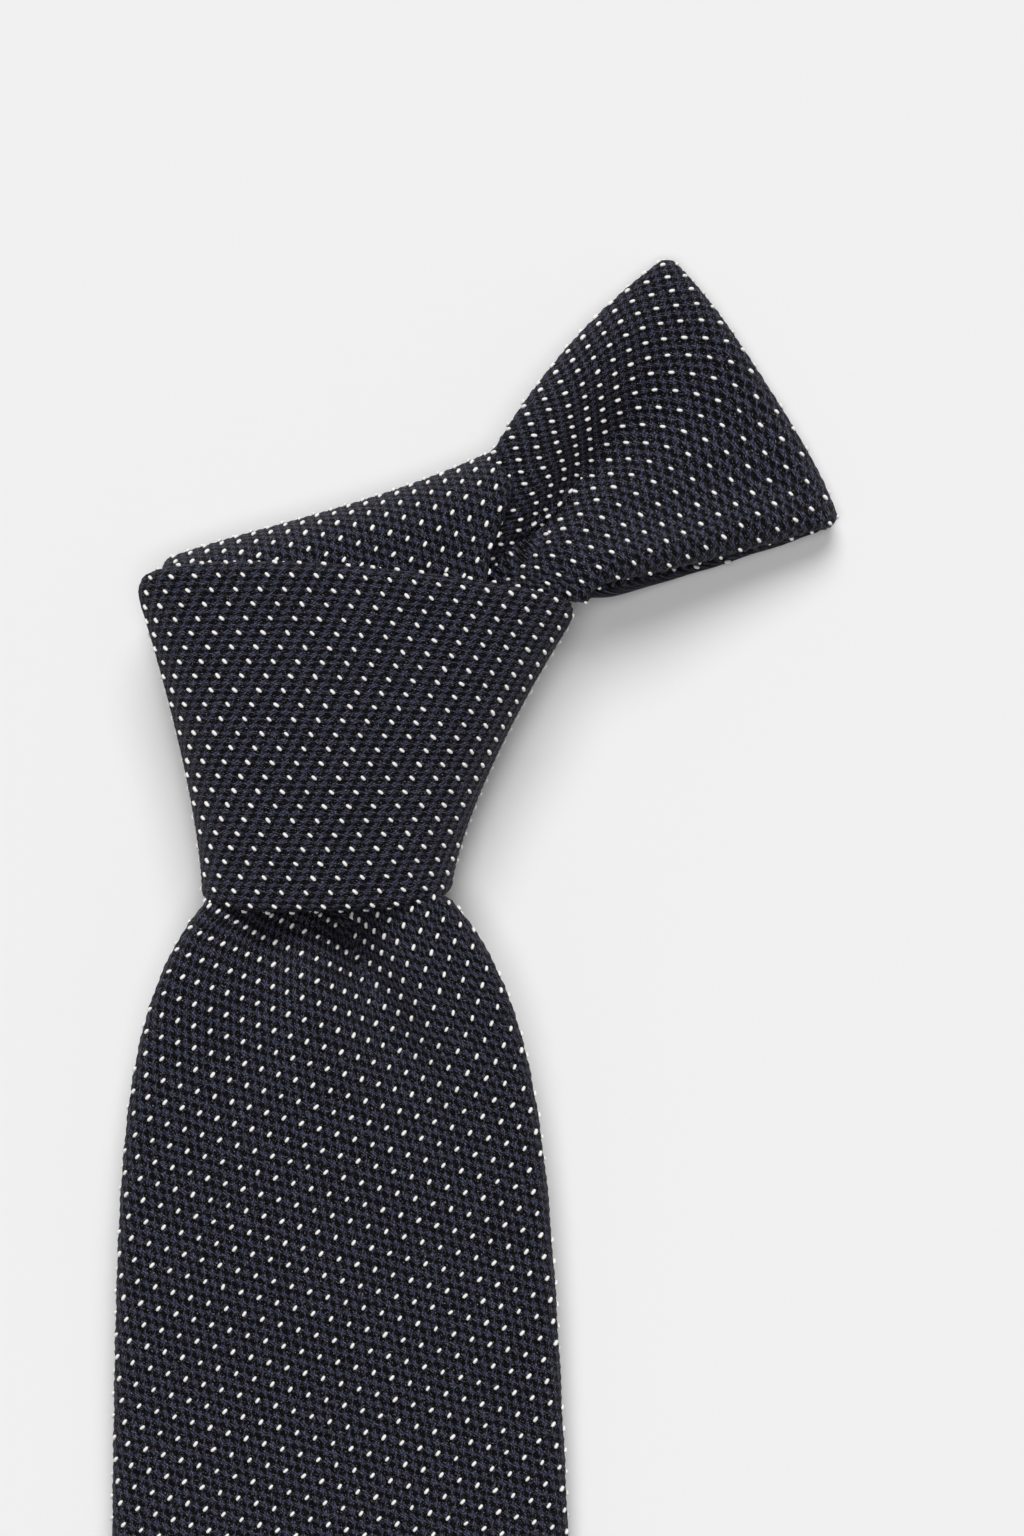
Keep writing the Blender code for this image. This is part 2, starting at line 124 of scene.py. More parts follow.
# One repeat of the weave: the steps from dot to dot, in the plane of the flat cloth
BLADE_REPEAT = ((2.135, -0.629), (0.391, -2.574))
WRAP_REPEAT = ((2.882, -0.05), (-0.842, -1.684))
LOOP_REPEAT = ((2.53, 0.0), (0.5, -2.05))
BLADE_DOT_ANGLE = math.radians(50)
WRAP_DOT_ANGLE = math.radians(-43)
CREST_DOT_ANGLE = math.radians(60)
LOOP_DOT_ANGLE = math.radians(-4)
DOT_SWING = 0.09  # how much the floats turn and vary in size, as a standard deviation
DOT_VARIES = 0.05

# The stage
FLOOR_HALF = 12000.0
FLOOR_Z = -0.02
VIEW_CENTRE = (0.021585, -0.00332, 0.008)  # in metres


# ---------------------------------------------------------------- plain mathematics


def smoothstep(value, start, end):
    """0 before start, 1 after end, and 3t^2 - 2t^3 of the way between."""
    t = np.clip((value - start) / (end - start), 0.0, 1.0)
    return t * t * (3.0 - 2.0 * t)


def mix(a, b, t):
    """The straight line from a to b."""
    return a + (b - a) * t


def bell(value, centre, width):
    """A bump of height 1: e to the minus square of the distance from centre over width."""
    return np.exp(-(((value - centre) / width) ** 2))


def arch(t):
    """A parabola that is 0 at the ends and 1 halfway."""
    return 4.0 * t * (1.0 - t)


def eased(value, power):
    """A cosine or sine raised to a power, with its sign kept: it pulls a circle towards a box."""
    return np.sign(value) * np.abs(value) ** power


def spaced(stops, steps):
    """Places from the first stop to the last, each stretch cut into steps of about that size."""
    runs = []
    for start, end, step in zip(stops, stops[1:], steps):
        count = max(1, int(round((end - start) / step)))
        runs.append(np.linspace(start, end, count, endpoint=False))
    return np.concatenate(runs + [np.array([stops[-1]])])


def along(points, axis):
    """Length of the line through the points up to each of them."""
    step = np.linalg.norm(np.diff(points, axis=axis), axis=2)
    zero = np.zeros_like(np.take(step, [0], axis=axis))
    return np.concatenate([zero, np.cumsum(step, axis=axis)], axis=axis)


def spline(points, count_per_unit):
    """A curve through the points, cut into the given count in each stretch: a cubic whose slope
    at a point is half the way from the point before to the point after."""
    before = np.concatenate([2 * points[:1] - points[1:2], points[:-1]])
    after = np.concatenate([points[1:], 2 * points[-1:] - points[-2:-1]])
    slope = (after - before) / 2
    runs = []
    for i, count in enumerate(count_per_unit):
        t = np.linspace(0, 1, count, endpoint=False)[:, None, None]
        a, b, m, n = points[i], points[i + 1], slope[i], slope[i + 1]
        start = (2 * t**3 - 3 * t**2 + 1) * a + (t**3 - 2 * t**2 + t) * m
        runs.append(start + (3 * t**2 - 2 * t**3) * b + (t**3 - t**2) * n)
    return np.concatenate(runs + [points[-1:]])


def section(half, thick, wall, seam, front, roll, back):
    """A folded band in section, one row for each value of half: a flat C with half-circle edges.

    The line runs from the seam along the back, round the right edge, over the front, round the
    left edge and back to the seam, and then returns inside at the wall's depth. Gives the places
    across and up, the number of points outside, and the column at the middle of the front."""
    half, thick, seam = (
        np.broadcast_to(np.asarray(v, float), np.shape(half))[:, None] for v in (half, thick, seam)
    )
    radius = thick / 2
    side = np.maximum(half - radius, 0.02)
    seam = np.minimum(seam, 0.5 * side)

    def part(n, closed=False):
        return np.linspace(0, 1, n + 1 if closed else n, endpoint=closed)[None, :]

    def flat(a, b, level, n, closed=False):
        run = mix(a, b, part(n, closed))
        return run, level + 0 * run

    turn = math.pi * (part(roll) - 0.5)
    outside = [
        flat(seam, side, -radius, back),
        (side + radius * np.cos(turn), radius * np.sin(turn)),
        flat(side, -side, radius, front),
        (-side - radius * np.cos(turn), -radius * np.sin(turn)),
        flat(-side, -seam, -radius, back, True),
    ]
    depth = radius - np.minimum(wall, 0.6 * radius)
    few = 6
    turn = math.pi * (0.5 - part(few))
    inside = [
        flat(-seam, -side, -depth, few),
        (-side - depth * np.cos(turn), -depth * np.sin(turn)),
        flat(-side, side, depth, 4 * few),
        (side + depth * np.cos(turn), depth * np.sin(turn)),
        flat(side, seam, -depth, few, True),
    ]
    across = np.concatenate([p[0] for p in outside + inside], axis=1)
    up = np.concatenate([p[1] for p in outside + inside], axis=1)
    outer = sum(p[0].shape[1] for p in outside)
    return across, up, outer, back + roll + front // 2


def lattice(flat, repeat, origin=(0.0, 0.0)):
    """Coordinates in the weave: dots stand where both are whole numbers."""
    a, b = np.array(repeat, float)
    inverse = np.linalg.inv(np.array([a, b]).T)
    return (flat - np.array(origin)) @ inverse.T


def turned(a, b):
    """The area between two arrows in the plane: a_x b_y - a_y b_x."""
    return a[..., 0] * b[..., 1] - a[..., 1] * b[..., 0]


def gauze(weave):
    """1 in the open holes of the gauze and -1 where its yarns cross: the mean of two cosines
    with two waves to a repeat."""
    return np.cos(4 * math.pi * (weave - 0.25)).mean(axis=-1)


# ---------------------------------------------------------------- meshes


def around(grid):
    """The four corners of each cell of a grid, in turn round the cell."""
    return np.stack([grid[:-1, :-1], grid[1:, :-1], grid[1:, 1:], grid[:-1, 1:]], axis=2)


def grid_faces(rows, columns, close_rows):
    """Faces of a grid whose columns close on themselves, and its rows too for a ring."""
    used = rows - 1 if close_rows else rows
    index = np.arange(used * columns).reshape(used, columns)
    if close_rows:
        index = np.concatenate([index, index[:1]])
    index = np.concatenate([index, index[:, :1]], axis=1)
    return around(index).reshape(-1, 4), index


def capped(rows, columns):
    """Corners and counts of the faces of such a grid, with a face across each end."""
    quads, index = grid_faces(rows, columns, False)
    loops = np.concatenate([quads.ravel(), index[0, :-1], index[-1, :-1][::-1]])
    return loops, np.concatenate([np.full(len(quads), 4), [columns, columns]])


def volume_of(points, loops, sizes):
    """Six times the signed volume inside the faces, each cut into a fan from its first corner."""
    total = 0.0
    starts = np.concatenate([[0], np.cumsum(sizes)[:-1]])
    for size in np.unique(sizes):
        chosen = starts[sizes == size][:, None] + np.arange(size)[None, :]
        corner = points[loops[chosen]]
        for i in range(1, size - 1):
            total += (corner[:, 0] * np.cross(corner[:, i], corner[:, i + 1])).sum()
    return total


def new_mesh(name, points, loops, sizes, material, weave=None):
    """A piece at the origin from its points, the corners of its faces in turn and their counts."""
    starts = np.concatenate([[0], np.cumsum(sizes)[:-1]])
    if volume_of(points - points.mean(axis=0), loops, sizes) < 0:
        order = np.repeat(2 * starts + sizes - 1, sizes) - np.arange(len(loops))
        loops = loops[order]
        weave = None if weave is None else weave[order]
    mesh = bpy.data.meshes.new(name)
    mesh.vertices.add(len(points))
    mesh.vertices.foreach_set("co", (points * MM).astype(np.float32).ravel())
    mesh.loops.add(len(loops))
    mesh.loops.foreach_set("vertex_index", loops.astype(np.int32))
    mesh.polygons.add(len(sizes))
    mesh.polygons.foreach_set("loop_start", starts.astype(np.int32))
    mesh.polygons.foreach_set("use_smooth", np.ones(len(sizes), bool))
    mesh.update(calc_edges=True)
    if weave is not None:
        layer = mesh.uv_layers.new(name="weave")
        layer.data.foreach_set("uv", weave.astype(np.float32).ravel())
    mesh.materials.append(material)
    piece = bpy.data.objects.new(name, mesh)
    bpy.context.scene.collection.objects.link(piece)
    return piece


def band_mesh(name, points, material, weave=None, close_rows=False):
    """A closed skin over a grid of sections, with a face across each end unless it is a ring."""
    rows, columns = points.shape[:2]
    corners = None
    if weave is not None:
        corners = around(np.concatenate([weave, weave[:, -1:]], axis=1)).reshape(-1, 2)
    if close_rows:
        quads = grid_faces(rows, columns, True)[0]
        loops, sizes, points = quads.ravel(), np.full(len(quads), 4), points[:-1]
    else:
        loops, sizes = capped(rows, columns)
        if weave is not None:
            corners = np.concatenate([corners, weave[0], weave[-1][::-1]])
    return new_mesh(name, points.reshape(-1, 3), loops, sizes, material, corners)


def many(name, points, loops, sizes, material):
    """One piece from many copies of a shape: its faces, and the points of each copy."""
    count, each = points.shape[:2]
    loops = (loops[None] + (np.arange(count) * each)[:, None]).ravel()
    return new_mesh(name, points.reshape(-1, 3), loops, np.tile(sizes, count), material)


def outward(points, column, away):
    """Normals of a grid from the cross product of its two slopes, signed so that the one at the
    given column of the middle row leans the way of away."""
    closed = np.concatenate([points[:, -1:], points, points[:, :1]], axis=1)
    across = closed[:, 2:] - closed[:, :-2]
    normal = np.cross(np.gradient(points, axis=0), across)
    normal /= np.maximum(np.linalg.norm(normal, axis=2, keepdims=True), 1e-9)
    middle = len(points) // 2
    return normal * np.sign(normal[middle, column] @ np.array(away, float))


def raise_weave(points, weave, normal, outer, depth, strength):
    """Moves the outside along its normals by the gauze's relief: down in the holes, up between."""
    moved = points.copy()
    shift = -0.5 * depth * gauze(weave[:, :outer]) * strength
    moved[:, :outer] += normal[:, :outer] * shift[..., None]
    return moved


def dot_shape(length, width, height, sides, rings):
    """A short float of yarn: rings of blunt ovals, each smaller and higher than the last, on a
    flat base under the cloth. An oval is the curve |x|^2.8 + |y|^2.2 = 1, scaled to size."""
    turn = 2 * math.pi * np.arange(sides) / sides
    c, s = np.cos(turn), np.sin(turn)
    oval = [eased(c, 2 / 2.8) * length / 2, eased(s, 2 / 2.2) * width / 2, 0 * c]
    oval = np.stack(oval, axis=1)
    rings = [oval * (grow, grow, 1) + (0, 0, rise * height) for grow, rise in rings]
    return np.concatenate(rings), *capped(len(rings), sides)


# Sides of a float, and the size and height of each of its rings
FINE_FLOAT = (10, ((1.0, -0.6), (0.94, 0.45), (0.62, 1.0)))
COARSE_FLOAT = (6, ((1.0, -0.5), (0.7, 1.0)))


def pin_dots(name, points, weave, normal, columns, repeat, angle, material, keep=None, fine=True):
    """A float of ivory yarn at each whole number of the weave.

    In each cell of the grid the weave is taken as linear, so the place of the nearest whole
    number is the solution of two equations, and the dot is kept if it falls inside the cell. Its
    length points along the given angle of the flat cloth, carried over by the same equations."""
    size = bpy.context.scene.tie_weave
    first, last = columns
    p, w, n = (v[:, first:last] for v in (points, weave, normal))
    corner, down, side = p[:-1, :-1], p[1:, :-1] - p[:-1, :-1], p[:-1, 1:] - p[:-1, :-1]
    start, wd, ws = w[:-1, :-1], w[1:, :-1] - w[:-1, :-1], w[:-1, 1:] - w[:-1, :-1]
    whole = np.round((w[:-1, :-1] + w[1:, 1:]) / 2)
    area = turned(wd, ws)
    area = np.where(np.abs(area) < 1e-12, 1e-12, area)
    alpha, beta = turned(whole - start, ws) / area, turned(wd, whole - start) / area
    inside = (alpha >= 0) & (alpha < 1) & (beta >= 0) & (beta < 1)
    # on the upright side of a fold the floats sink between the stretched yarns
    normals = n[:-1, :-1]
    inside &= (np.abs(normals[..., 2] - 0.16) > 0.14) | (np.abs(normals[..., 0]) < 0.8)
    if keep is not None:
        inside &= keep(corner)
    heading = lattice(np.array([math.cos(angle), math.sin(angle)]), repeat)
    alpha_step, beta_step = turned(heading, ws) / area, turned(wd, heading) / area
    place = corner + down * alpha[..., None] + side * beta[..., None]
    ahead = down * alpha_step[..., None] + side * beta_step[..., None]
    place, ahead, up = place[inside], ahead[inside], normals[inside]
    place = place + up * (0.5 * size.relief / MM if fine else 0.0)
    ahead -= up * (ahead * up).sum(axis=1, keepdims=True)
    ahead /= np.maximum(np.linalg.norm(ahead, axis=1, keepdims=True), 1e-9)
    beside = np.cross(up, ahead)
    rng = np.random.default_rng(len(place))
    swing = rng.normal(0, DOT_SWING, (len(place), 1))
    ahead, beside = (
        ahead * np.cos(swing) + beside * np.sin(swing),
        beside * np.cos(swing) - ahead * np.sin(swing),
    )
    grow = 1 + np.clip(rng.normal(0, DOT_VARIES, (len(place), 1, 1)), -0.12, 0.12)
    lengths = np.array([size.dot_length, size.dot_width, size.dot_height]) / MM
    shape, loops, sizes = dot_shape(*lengths, *(FINE_FLOAT if fine else COARSE_FLOAT))
    local = shape[None] * grow
    frames = (ahead[:, None], beside[:, None], up[:, None])
    placed = place[:, None] + sum(local[..., i : i + 1] * frames[i] for i in range(3))
    return many(name, placed, loops, sizes, material)


def finer_rows(values, times):
    """Adds rows on the straight line between each row and the next."""
    share = (np.arange(times) / times)[None, :, None, None]
    between = values[:-1, None] * (1 - share) + values[1:, None] * share
    return np.concatenate([between.reshape(-1, *values.shape[1:]), values[-1:]])


def block_mesh(name, outline_x, outline_y, low, high, material):
    """A flat pad: an outline with rounded corners, raised from low to high with eased rims. Each
    outline is a centre and half a size; the outline is a circle whose cosine and sine are raised
    to the power 0.16."""
    rings = [(0.97, low), (1.0, mix(low, high, 0.3)), (1.0, mix(low, high, 0.7)), (0.97, high)]
    turn = 2 * math.pi * (np.arange(48) + 0.5) / 48
    x, y = eased(np.cos(turn), 0.16), eased(np.sin(turn), 0.16)
    (centre_x, half_x), (centre_y, half_y) = outline_x, outline_y
    points = [
        np.stack([centre_x + half_x * x * g, centre_y + half_y * y * g, z + 0 * x], axis=1)
        for g, z in rings
    ]
    return band_mesh(name, np.stack(points), material)


# ---------------------------------------------------------------- materials


def linear(colour):
    """An sRGB hex value as linear red, green and blue."""
    value = np.array([int(colour[i : i + 2], 16) for i in (1, 3, 5)]) / 255
    low = value / 12.92
    high = ((value + 0.055) / 1.055) ** 2.4
    return tuple(np.where(value <= 0.04045, low, high))


MATH = "ShaderNodeMath"
VECTOR = "ShaderNodeVectorMath"
RANGE = "ShaderNodeMapRange"
NOISE = "ShaderNodeTexNoise"
MIX = "ShaderNodeMix"


def node(tree, kind, inputs=None, out=0, **settings):
    """Adds one node: its settings, each input as a value or as the socket it comes from, and the
    output that it hands on."""
    made = tree.nodes.new(kind)
    for key, value in settings.items():
        setattr(made, key, value)
    for key, value in (inputs or {}).items():
        if isinstance(value, bpy.types.NodeSocket):
            tree.links.new(value, made.inputs[key])
        else:
            made.inputs[key].default_value = value
    return made.outputs[out]


def surface(name):
    """A new material: its node tree, and its shader, which is already joined to the output."""
    material = bpy.data.materials.new(name)
    material.use_nodes = True
    tree = material.node_tree
    return material, tree, tree.nodes["Principled BSDF"]


def finish(tree, shader, colour, bump, **constants):
    """Joins a pattern's colour and bump to the shader, and sets its plain values."""
    tree.links.new(colour, shader.inputs["Base Color"])
    if bump is not None:
        tree.links.new(bump, shader.inputs["Normal"])
    for key, value in constants.items():
        shader.inputs[key.replace("_", " ")].default_value = value


def rgba(values):
    return (*values, 1.0)


def grenadine():
    """Grenadine: high-twist silk yarns that cross between every pick of a gauze weave. The twist
    makes it matt and grainy, and the crossings leave small open holes, which are painted
    near-black as the shade inside them."""
    colours = bpy.context.scene.tie_colours
    material, tree, shader = surface("grenadine silk, navy, gauze woven")
    uv = node(tree, "ShaderNodeUVMap", uv_map="weave")
    # yarns wander by about a tenth of a repeat, as hand-loomed gauze does
    wander = node(tree, NOISE, {"Vector": uv, "Scale": 2.6, "Detail": 2.0}, out="Color")
    shift = node(tree, VECTOR, {0: wander, 1: (0.5, 0.5, 0.5)}, operation="SUBTRACT")
    shift = node(tree, VECTOR, {0: shift, "Scale": 0.22}, operation="SCALE")
    bent = node(tree, VECTOR, {0: uv, 1: shift}, operation="ADD")
    p = node(tree, "ShaderNodeSeparateXYZ", {"Vector": bent})
    q = p.node.outputs[1]
    # two open holes to a repeat each way, one every 1.1 by 1.3 mm, where both waves are high;
    # yarn is about 0.3 mm thick, and its plies show as leaning ribs 0.35 mm apart
    waves, ribs = [], []
    for ahead, beside, count, phase, lean in ((p, q, 6, 0.4, 2.5), (q, p, 7, 1.1, -2.5)):
        angle = {0: ahead, 1: 4 * math.pi, 2: -math.pi}
        angle = node(tree, MATH, angle, operation="MULTIPLY_ADD")
        waves.append(node(tree, MATH, {0: angle}, operation="COSINE"))
        angle = {0: ahead, 1: 2 * math.pi * count, 2: phase}
        angle = node(tree, MATH, angle, operation="MULTIPLY_ADD")
        angle = {0: beside, 1: 2 * math.pi * lean, 2: angle}
        angle = node(tree, MATH, angle, operation="MULTIPLY_ADD")
        ribs.append(node(tree, MATH, {0: angle}, operation="COSINE"))
    holes = node(tree, MATH, {0: waves[0], 1: waves[1]}, operation="ADD")
    holes = {"Value": holes, "From Min": -0.8, "From Max": 0.6}
    holes = node(tree, RANGE, holes, interpolation_type="SMOOTHSTEP")
    on_top = node(tree, MATH, {0: waves[0], 1: waves[1]}, operation="SUBTRACT")
    on_top = {"Value": on_top, "From Min": -0.6, "From Max": 0.6}
    on_top = node(tree, RANGE, on_top, interpolation_type="SMOOTHSTEP")
    rib = node(tree, MIX, {"Factor": on_top, 2: ribs[0], 3: ribs[1]}, data_type="FLOAT")
    grain = {"Vector": uv, "Scale": 9.0, "Detail": 3.0, "Roughness": 0.75}
    grain = node(tree, NOISE, grain)
    lit = node(tree, MATH, {0: rib, 1: 0.3, 2: grain}, operation="MULTIPLY_ADD")
    lit = node(tree, RANGE, {"Value": lit, "From Min": 0.34, "From Max": 0.86})
    hue = node(tree, NOISE, {"Vector": uv, "Scale": 4.3, "Detail": 1.0})
    hue = {"Value": hue, "From Min": 0.42, "From Max": 0.62}
    hue = node(tree, RANGE, hue, interpolation_type="SMOOTHSTEP")
    # single filaments that catch the light, in specks of 0.15 mm
    specks = node(tree, NOISE, {"Vector": uv, "Scale": 10.0, "Detail": 2.0})
    specks = {"Value": specks, "From Min": 0.58, "From Max": 0.72, "To Max": 0.5}
    specks = node(tree, RANGE, specks, interpolation_type="SMOOTHSTEP")
    colour = rgba(colours.shade)
    for share, layer in (
        (hue, colours.yarn),
        (lit, colours.sheen),
        # the open holes are painted near-black as shade
        (holes, colours.hole_shade),
        (specks, colours.glint),
    ):
        layers = {"Factor": share, 6: colour, 7: rgba(layer)}
        colour = node(tree, MIX, layers, out=2, data_type="RGBA")
    height = node(tree, MATH, {0: holes, 1: -1.0, 2: lit}, operation="MULTIPLY_ADD")
    bump = {"Height": height, "Strength": 0.9, "Distance": 0.18 * MM}
    bump = node(tree, "ShaderNodeBump", bump)
    gloss = dict(Roughness=0.6, IOR=1.54, Specular_IOR_Level=0.08)
    finish(tree, shader, colour, bump, **gloss, Sheen_Weight=0.03, Sheen_Roughness=0.5)
    return material


def ivory():
    """Undyed silk in short floats over the dark cloth: soft white, with a faint satin gloss that
    brightens the side towards the light."""
    colours = bpy.context.scene.tie_colours
    material, tree, shader = surface("ivory silk, floated yarn")
    place = node(tree, "ShaderNodeTexCoord", out="Object")
    # each float takes the dye a little differently
    tone = node(tree, NOISE, {"Vector": place, "Scale": 500.0, "Detail": 1.0})
    layers = {"Factor": tone, 6: rgba(colours.ivory_shade), 7: rgba(colours.ivory)}
    colour = node(tree, MIX, layers, out=2, data_type="RGBA")
    fibres = node(tree, NOISE, {"Vector": place, "Scale": 6000.0, "Detail": 1.0})
    bump = node(tree, "ShaderNodeBump", {"Height": fibres, "Strength": 0.3, "Distance": 0.03 * MM})
    finish(tree, shader, colour, bump, Roughness=0.45, IOR=1.54, Specular_IOR_Level=0.4)
    return material


def fine_cloth(name, first, second, weft, warp, roughness, level, relief):
    """A plain or satin cloth in two close colours, on Object coordinates: ribs of weft over lines
    of warp, which repeat every 2 pi times the sizes given, so that they are coarse enough to
    show. Sizes and relief are in millimetres."""
    material, tree, shader = surface(name)
    place = node(tree, "ShaderNodeTexCoord", out="Object")
    bands = []
    for size, direction in ((weft, "Y"), (warp, "X")):
        wave = {"Vector": place, "Scale": 0.05 / (size * MM), "Distortion": 0.6, "Detail": 1.0}
        bands.append(node(tree, "ShaderNodeTexWave", wave, out="Fac", bands_direction=direction))
    both = node(tree, MATH, {0: bands[0], 1: bands[1]}, operation="MULTIPLY")
    cloud = node(tree, NOISE, {"Vector": place, "Scale": 90.0, "Detail": 4.0})
    share = node(tree, MATH, {0: both, 1: 0.6, 2: cloud}, operation="MULTIPLY_ADD")
    share = node(tree, RANGE, {"Value": share, "From Min": 0.3, "From Max": 1.1})
    layers = {"Factor": share, 6: rgba(linear(first)), 7: rgba(linear(second))}
    colour = node(tree, MIX, layers, out=2, data_type="RGBA")
    bump = node(tree, "ShaderNodeBump", {"Height": both, "Strength": 0.6, "Distance": relief * MM})
    finish(tree, shader, colour, bump, Roughness=roughness, IOR=1.5, Specular_IOR_Level=level)
    return material


# Two colours, sizes of weft and warp, roughness, gloss, and relief
FINE_CLOTHS = {
    # satin: long floats give a smooth face with a soft directional gloss
    "lining": ("lining silk, satin", "#171a2a", "#262b44", 0.5, 0.25, 0.34, 0.4, 0.03),
    # brushed wool: pale, felted, quite matt
    "wool": ("wool interlining, brushed", "#b3a992", "#d2cab6", 0.7, 0.7, 0.95, 0.2, 0.08),
    # sewing silk: two plies, with a low gloss
    "thread": ("sewing silk, twisted", "#14151f", "#2c2f42", 0.3, 0.3, 0.5, 0.4, 0.05),
    # label ribbon: a dense damask with a fine rib
    "label": ("label ribbon, woven damask", "#1a1f33", "#30374f", 0.35, 0.35, 0.5, 0.4, 0.03),
}
WOVEN = {"grenadine": grenadine, "ivory": ivory}
MATERIALS = {}


def finish_of(name):
    """Each material is made once, when the first piece asks for it."""
    if name not in MATERIALS:
        MATERIALS[name] = WOVEN[name]() if name in WOVEN else fine_cloth(*FINE_CLOTHS[name])
    return MATERIALS[name]


# ---------------------------------------------------------------- the knot


def wrap_sides(y):
    """Left and right sides of the knot at y: each spreads from the foot as a power of the rise."""
    left = -15.1 - 8.3 * np.clip((y + 17.8) / 36.5, 0, 1.1) ** 1.5
    right = 14.4 + 16.4 * np.clip((y + 17.8) / 34.4, 0, 1.1) ** 1.43
    return left, right


def wrap_grid():
    """The band that circles the knot. Across the knot it is a superellipse, whose exponent falls
    from left to right so that the right side rolls off more gently, and grows behind, where the
    knot lies flat. Its upper edge is a skewed parabola over the front, and comes lower behind."""
    dense = np.linspace(-0.5 * math.pi, 1.5 * math.pi, 4001)
    power = 2 / (2.7 - 0.35 * np.cos(dense) + smoothstep(-np.sin(dense), 0.0, 0.6))
    cx, cz = eased(np.cos(dense), power), eased(np.sin(dense), power)
    step = np.hypot(np.diff(20 * cx), np.diff(9 * cz))
    pitch = mix(1.3, 0.3, smoothstep((cz[1:] + cz[:-1]) / 2, -0.7, -0.2))
    travelled = np.concatenate([[0], np.cumsum(step / pitch)])
    wanted = np.linspace(0, travelled[-1], int(travelled[-1]) + 1)
    cx = np.interp(wanted, travelled, cx)
    cz = np.interp(wanted, travelled, cz)
    share = (cx + 1) / 2
    skew = np.clip(share, 0, 1) ** 0.65
    in_front = smoothstep(cz, -0.75, 0.55)
    top = mix(4.3, mix(18.9, 16.6, share) + 2.8 * arch(skew), in_front)
    foot = mix(-18.4, mix(-19.4, -18.5, share) - 1.2 * (1 - (2 * share - 1) ** 4), in_front)
    half = (top - foot) / 2
    c, d, outer, middle = section(half, PASS_THICK, PASS_WALL, SEAM_HALF, *KNOT_CUTS)
    y = ((top + foot) / 2)[:, None] + c
    left, right = wrap_sides(y)
    height = mix(17.6, KNOT_TOP_Z, smoothstep(y, -20, 4)) / 2
    reach = PASS_THICK / 2
    x = (left + right) / 2 + ((right - left) / 2 - reach) * cx[:, None]
    z = height + 0.3 + (height - 0.3 - reach) * cz[:, None]
    ring = np.stack([x, z], axis=-1)
    closed = np.concatenate([ring[-2:-1], ring, ring[1:2]])
    slope = closed[2:] - closed[:-2]
    slope /= np.linalg.norm(slope, axis=2, keepdims=True)
    x = x + slope[..., 1] * d
    z = z - slope[..., 0] * d
    # a slight slackness where the layers beneath end
    slack = -0.5 * bell(x, 9, 7) * bell(y, 8, 9) + 0.35 * bell(x, -9, 8) * bell(y, -2, 12)
    z = z + slack * (in_front[:, None] > 0.99)
    points = np.stack([x, y, z], axis=-1)
    points[-1] = points[0]
    start = int(np.argmin(np.where(cz > 0, np.abs(share - 0.45), 9)))
    across = along(points, 0)
    down = along(points, 1)
    flat_x = x[start] - (across - across[start])
    flat_y = y[:, middle : middle + 1] - (down - down[:, middle : middle + 1])
    weave = lattice(np.stack([flat_x, flat_y], axis=-1), WRAP_REPEAT, (-2.0, 0.6))
    return points, weave, outer, middle


def crest_grid():
    """The band over the top of the knot. Its two edges are smooth curves through the places it
    passes, from behind the knot, round the crest as half an ellipse, and down inside the wrap.
    The cloth between them is straight, apart from a low crown above the table and a sag along
    the crest, both of them parabolas across it."""
    left_crest, right_crest = np.array([-20.2, 21.2]), np.array([19.9, 34.6])
    line = right_crest - left_crest
    inward = np.array([line[1], -line[0]]) / np.linalg.norm(line)
    middle_z = (CREST_LOW_Z + CREST_HIGH_Z) / 2
    reach = (CREST_HIGH_Z - CREST_LOW_Z) / 2
    places = [
        ((-17.8, 4.6, CREST_LOW_Z), (18.6, 4.6, CREST_LOW_Z)),
        ((-18.6, 10.0, CREST_LOW_Z), (19.2, 13.0, CREST_LOW_Z)),
    ]
    for angle in np.radians([-90, -60, -30, 0, 30, 60, 90]):
        z = middle_z + reach * math.sin(angle)
        pair = []
        for corner, depth in ((left_crest, 2.2), (right_crest, 4.2)):
            spot = corner + inward * (PASS_THICK / 2 + depth * (1 - math.cos(angle)))
            pair.append((*spot, z))
        places.append(pair)
    places += [
        ((-19.6, 14.0, 13.9), (19.2, 22.0, CREST_HIGH_Z)),
        ((-17.0, 6.0, 13.6), (17.6, 13.0, CREST_HIGH_Z)),
        ((-12.2, -4.0, 13.0), (12.2, 0.0, 13.2)),
        ((-11.0, -11.0, 12.2), (11.0, -11.0, 12.2)),
        ((-10.4, -17.0, 10.9), (10.4, -17.0, 10.9)),
    ]
    counts = [5, 6, 8, 8, 9, 10, 10, 10, 22, 16, 8, 5, 4]
    top_row = 41
    edges = spline(np.array(places, float), counts)
    half = np.linalg.norm(edges[:, 1] - edges[:, 0], axis=1) / 2
    c, d, outer, middle = section(half, PASS_THICK, PASS_WALL, SEAM_HALF, *KNOT_CUTS)
    share = (c / half[:, None] + 1) / 2
    base = mix(edges[:, :1], edges[:, 1:], share[..., None])
    run = np.gradient(edges.mean(axis=1), axis=0)
    across = edges[:, 1] - edges[:, 0]
    up = np.cross(run, across)
    up /= np.linalg.norm(up, axis=1, keepdims=True)
    crown = 0.9 * arch(np.clip(share, 0, 1)) * (d > 0) * smoothstep(base[..., 2], 3, 9)
    points = base + up[:, None] * (d + crown)[..., None]
    sag = 1.7 * arch(np.clip(share, 0, 1) ** 1.4) * smoothstep(points[..., 1], 8, 22)
    points[..., 1] -= sag
    length, width = along(points, 0), along(points, 1)
    flat_y = points[top_row, :, 1] - (length - length[top_row])
    flat_x = points[:, middle : middle + 1, 0] - (width - width[:, middle : middle + 1])
    weave = lattice(np.stack([flat_x, flat_y], axis=-1), BLADE_REPEAT, (0.3, 0.2))
    return points, weave, outer, middle


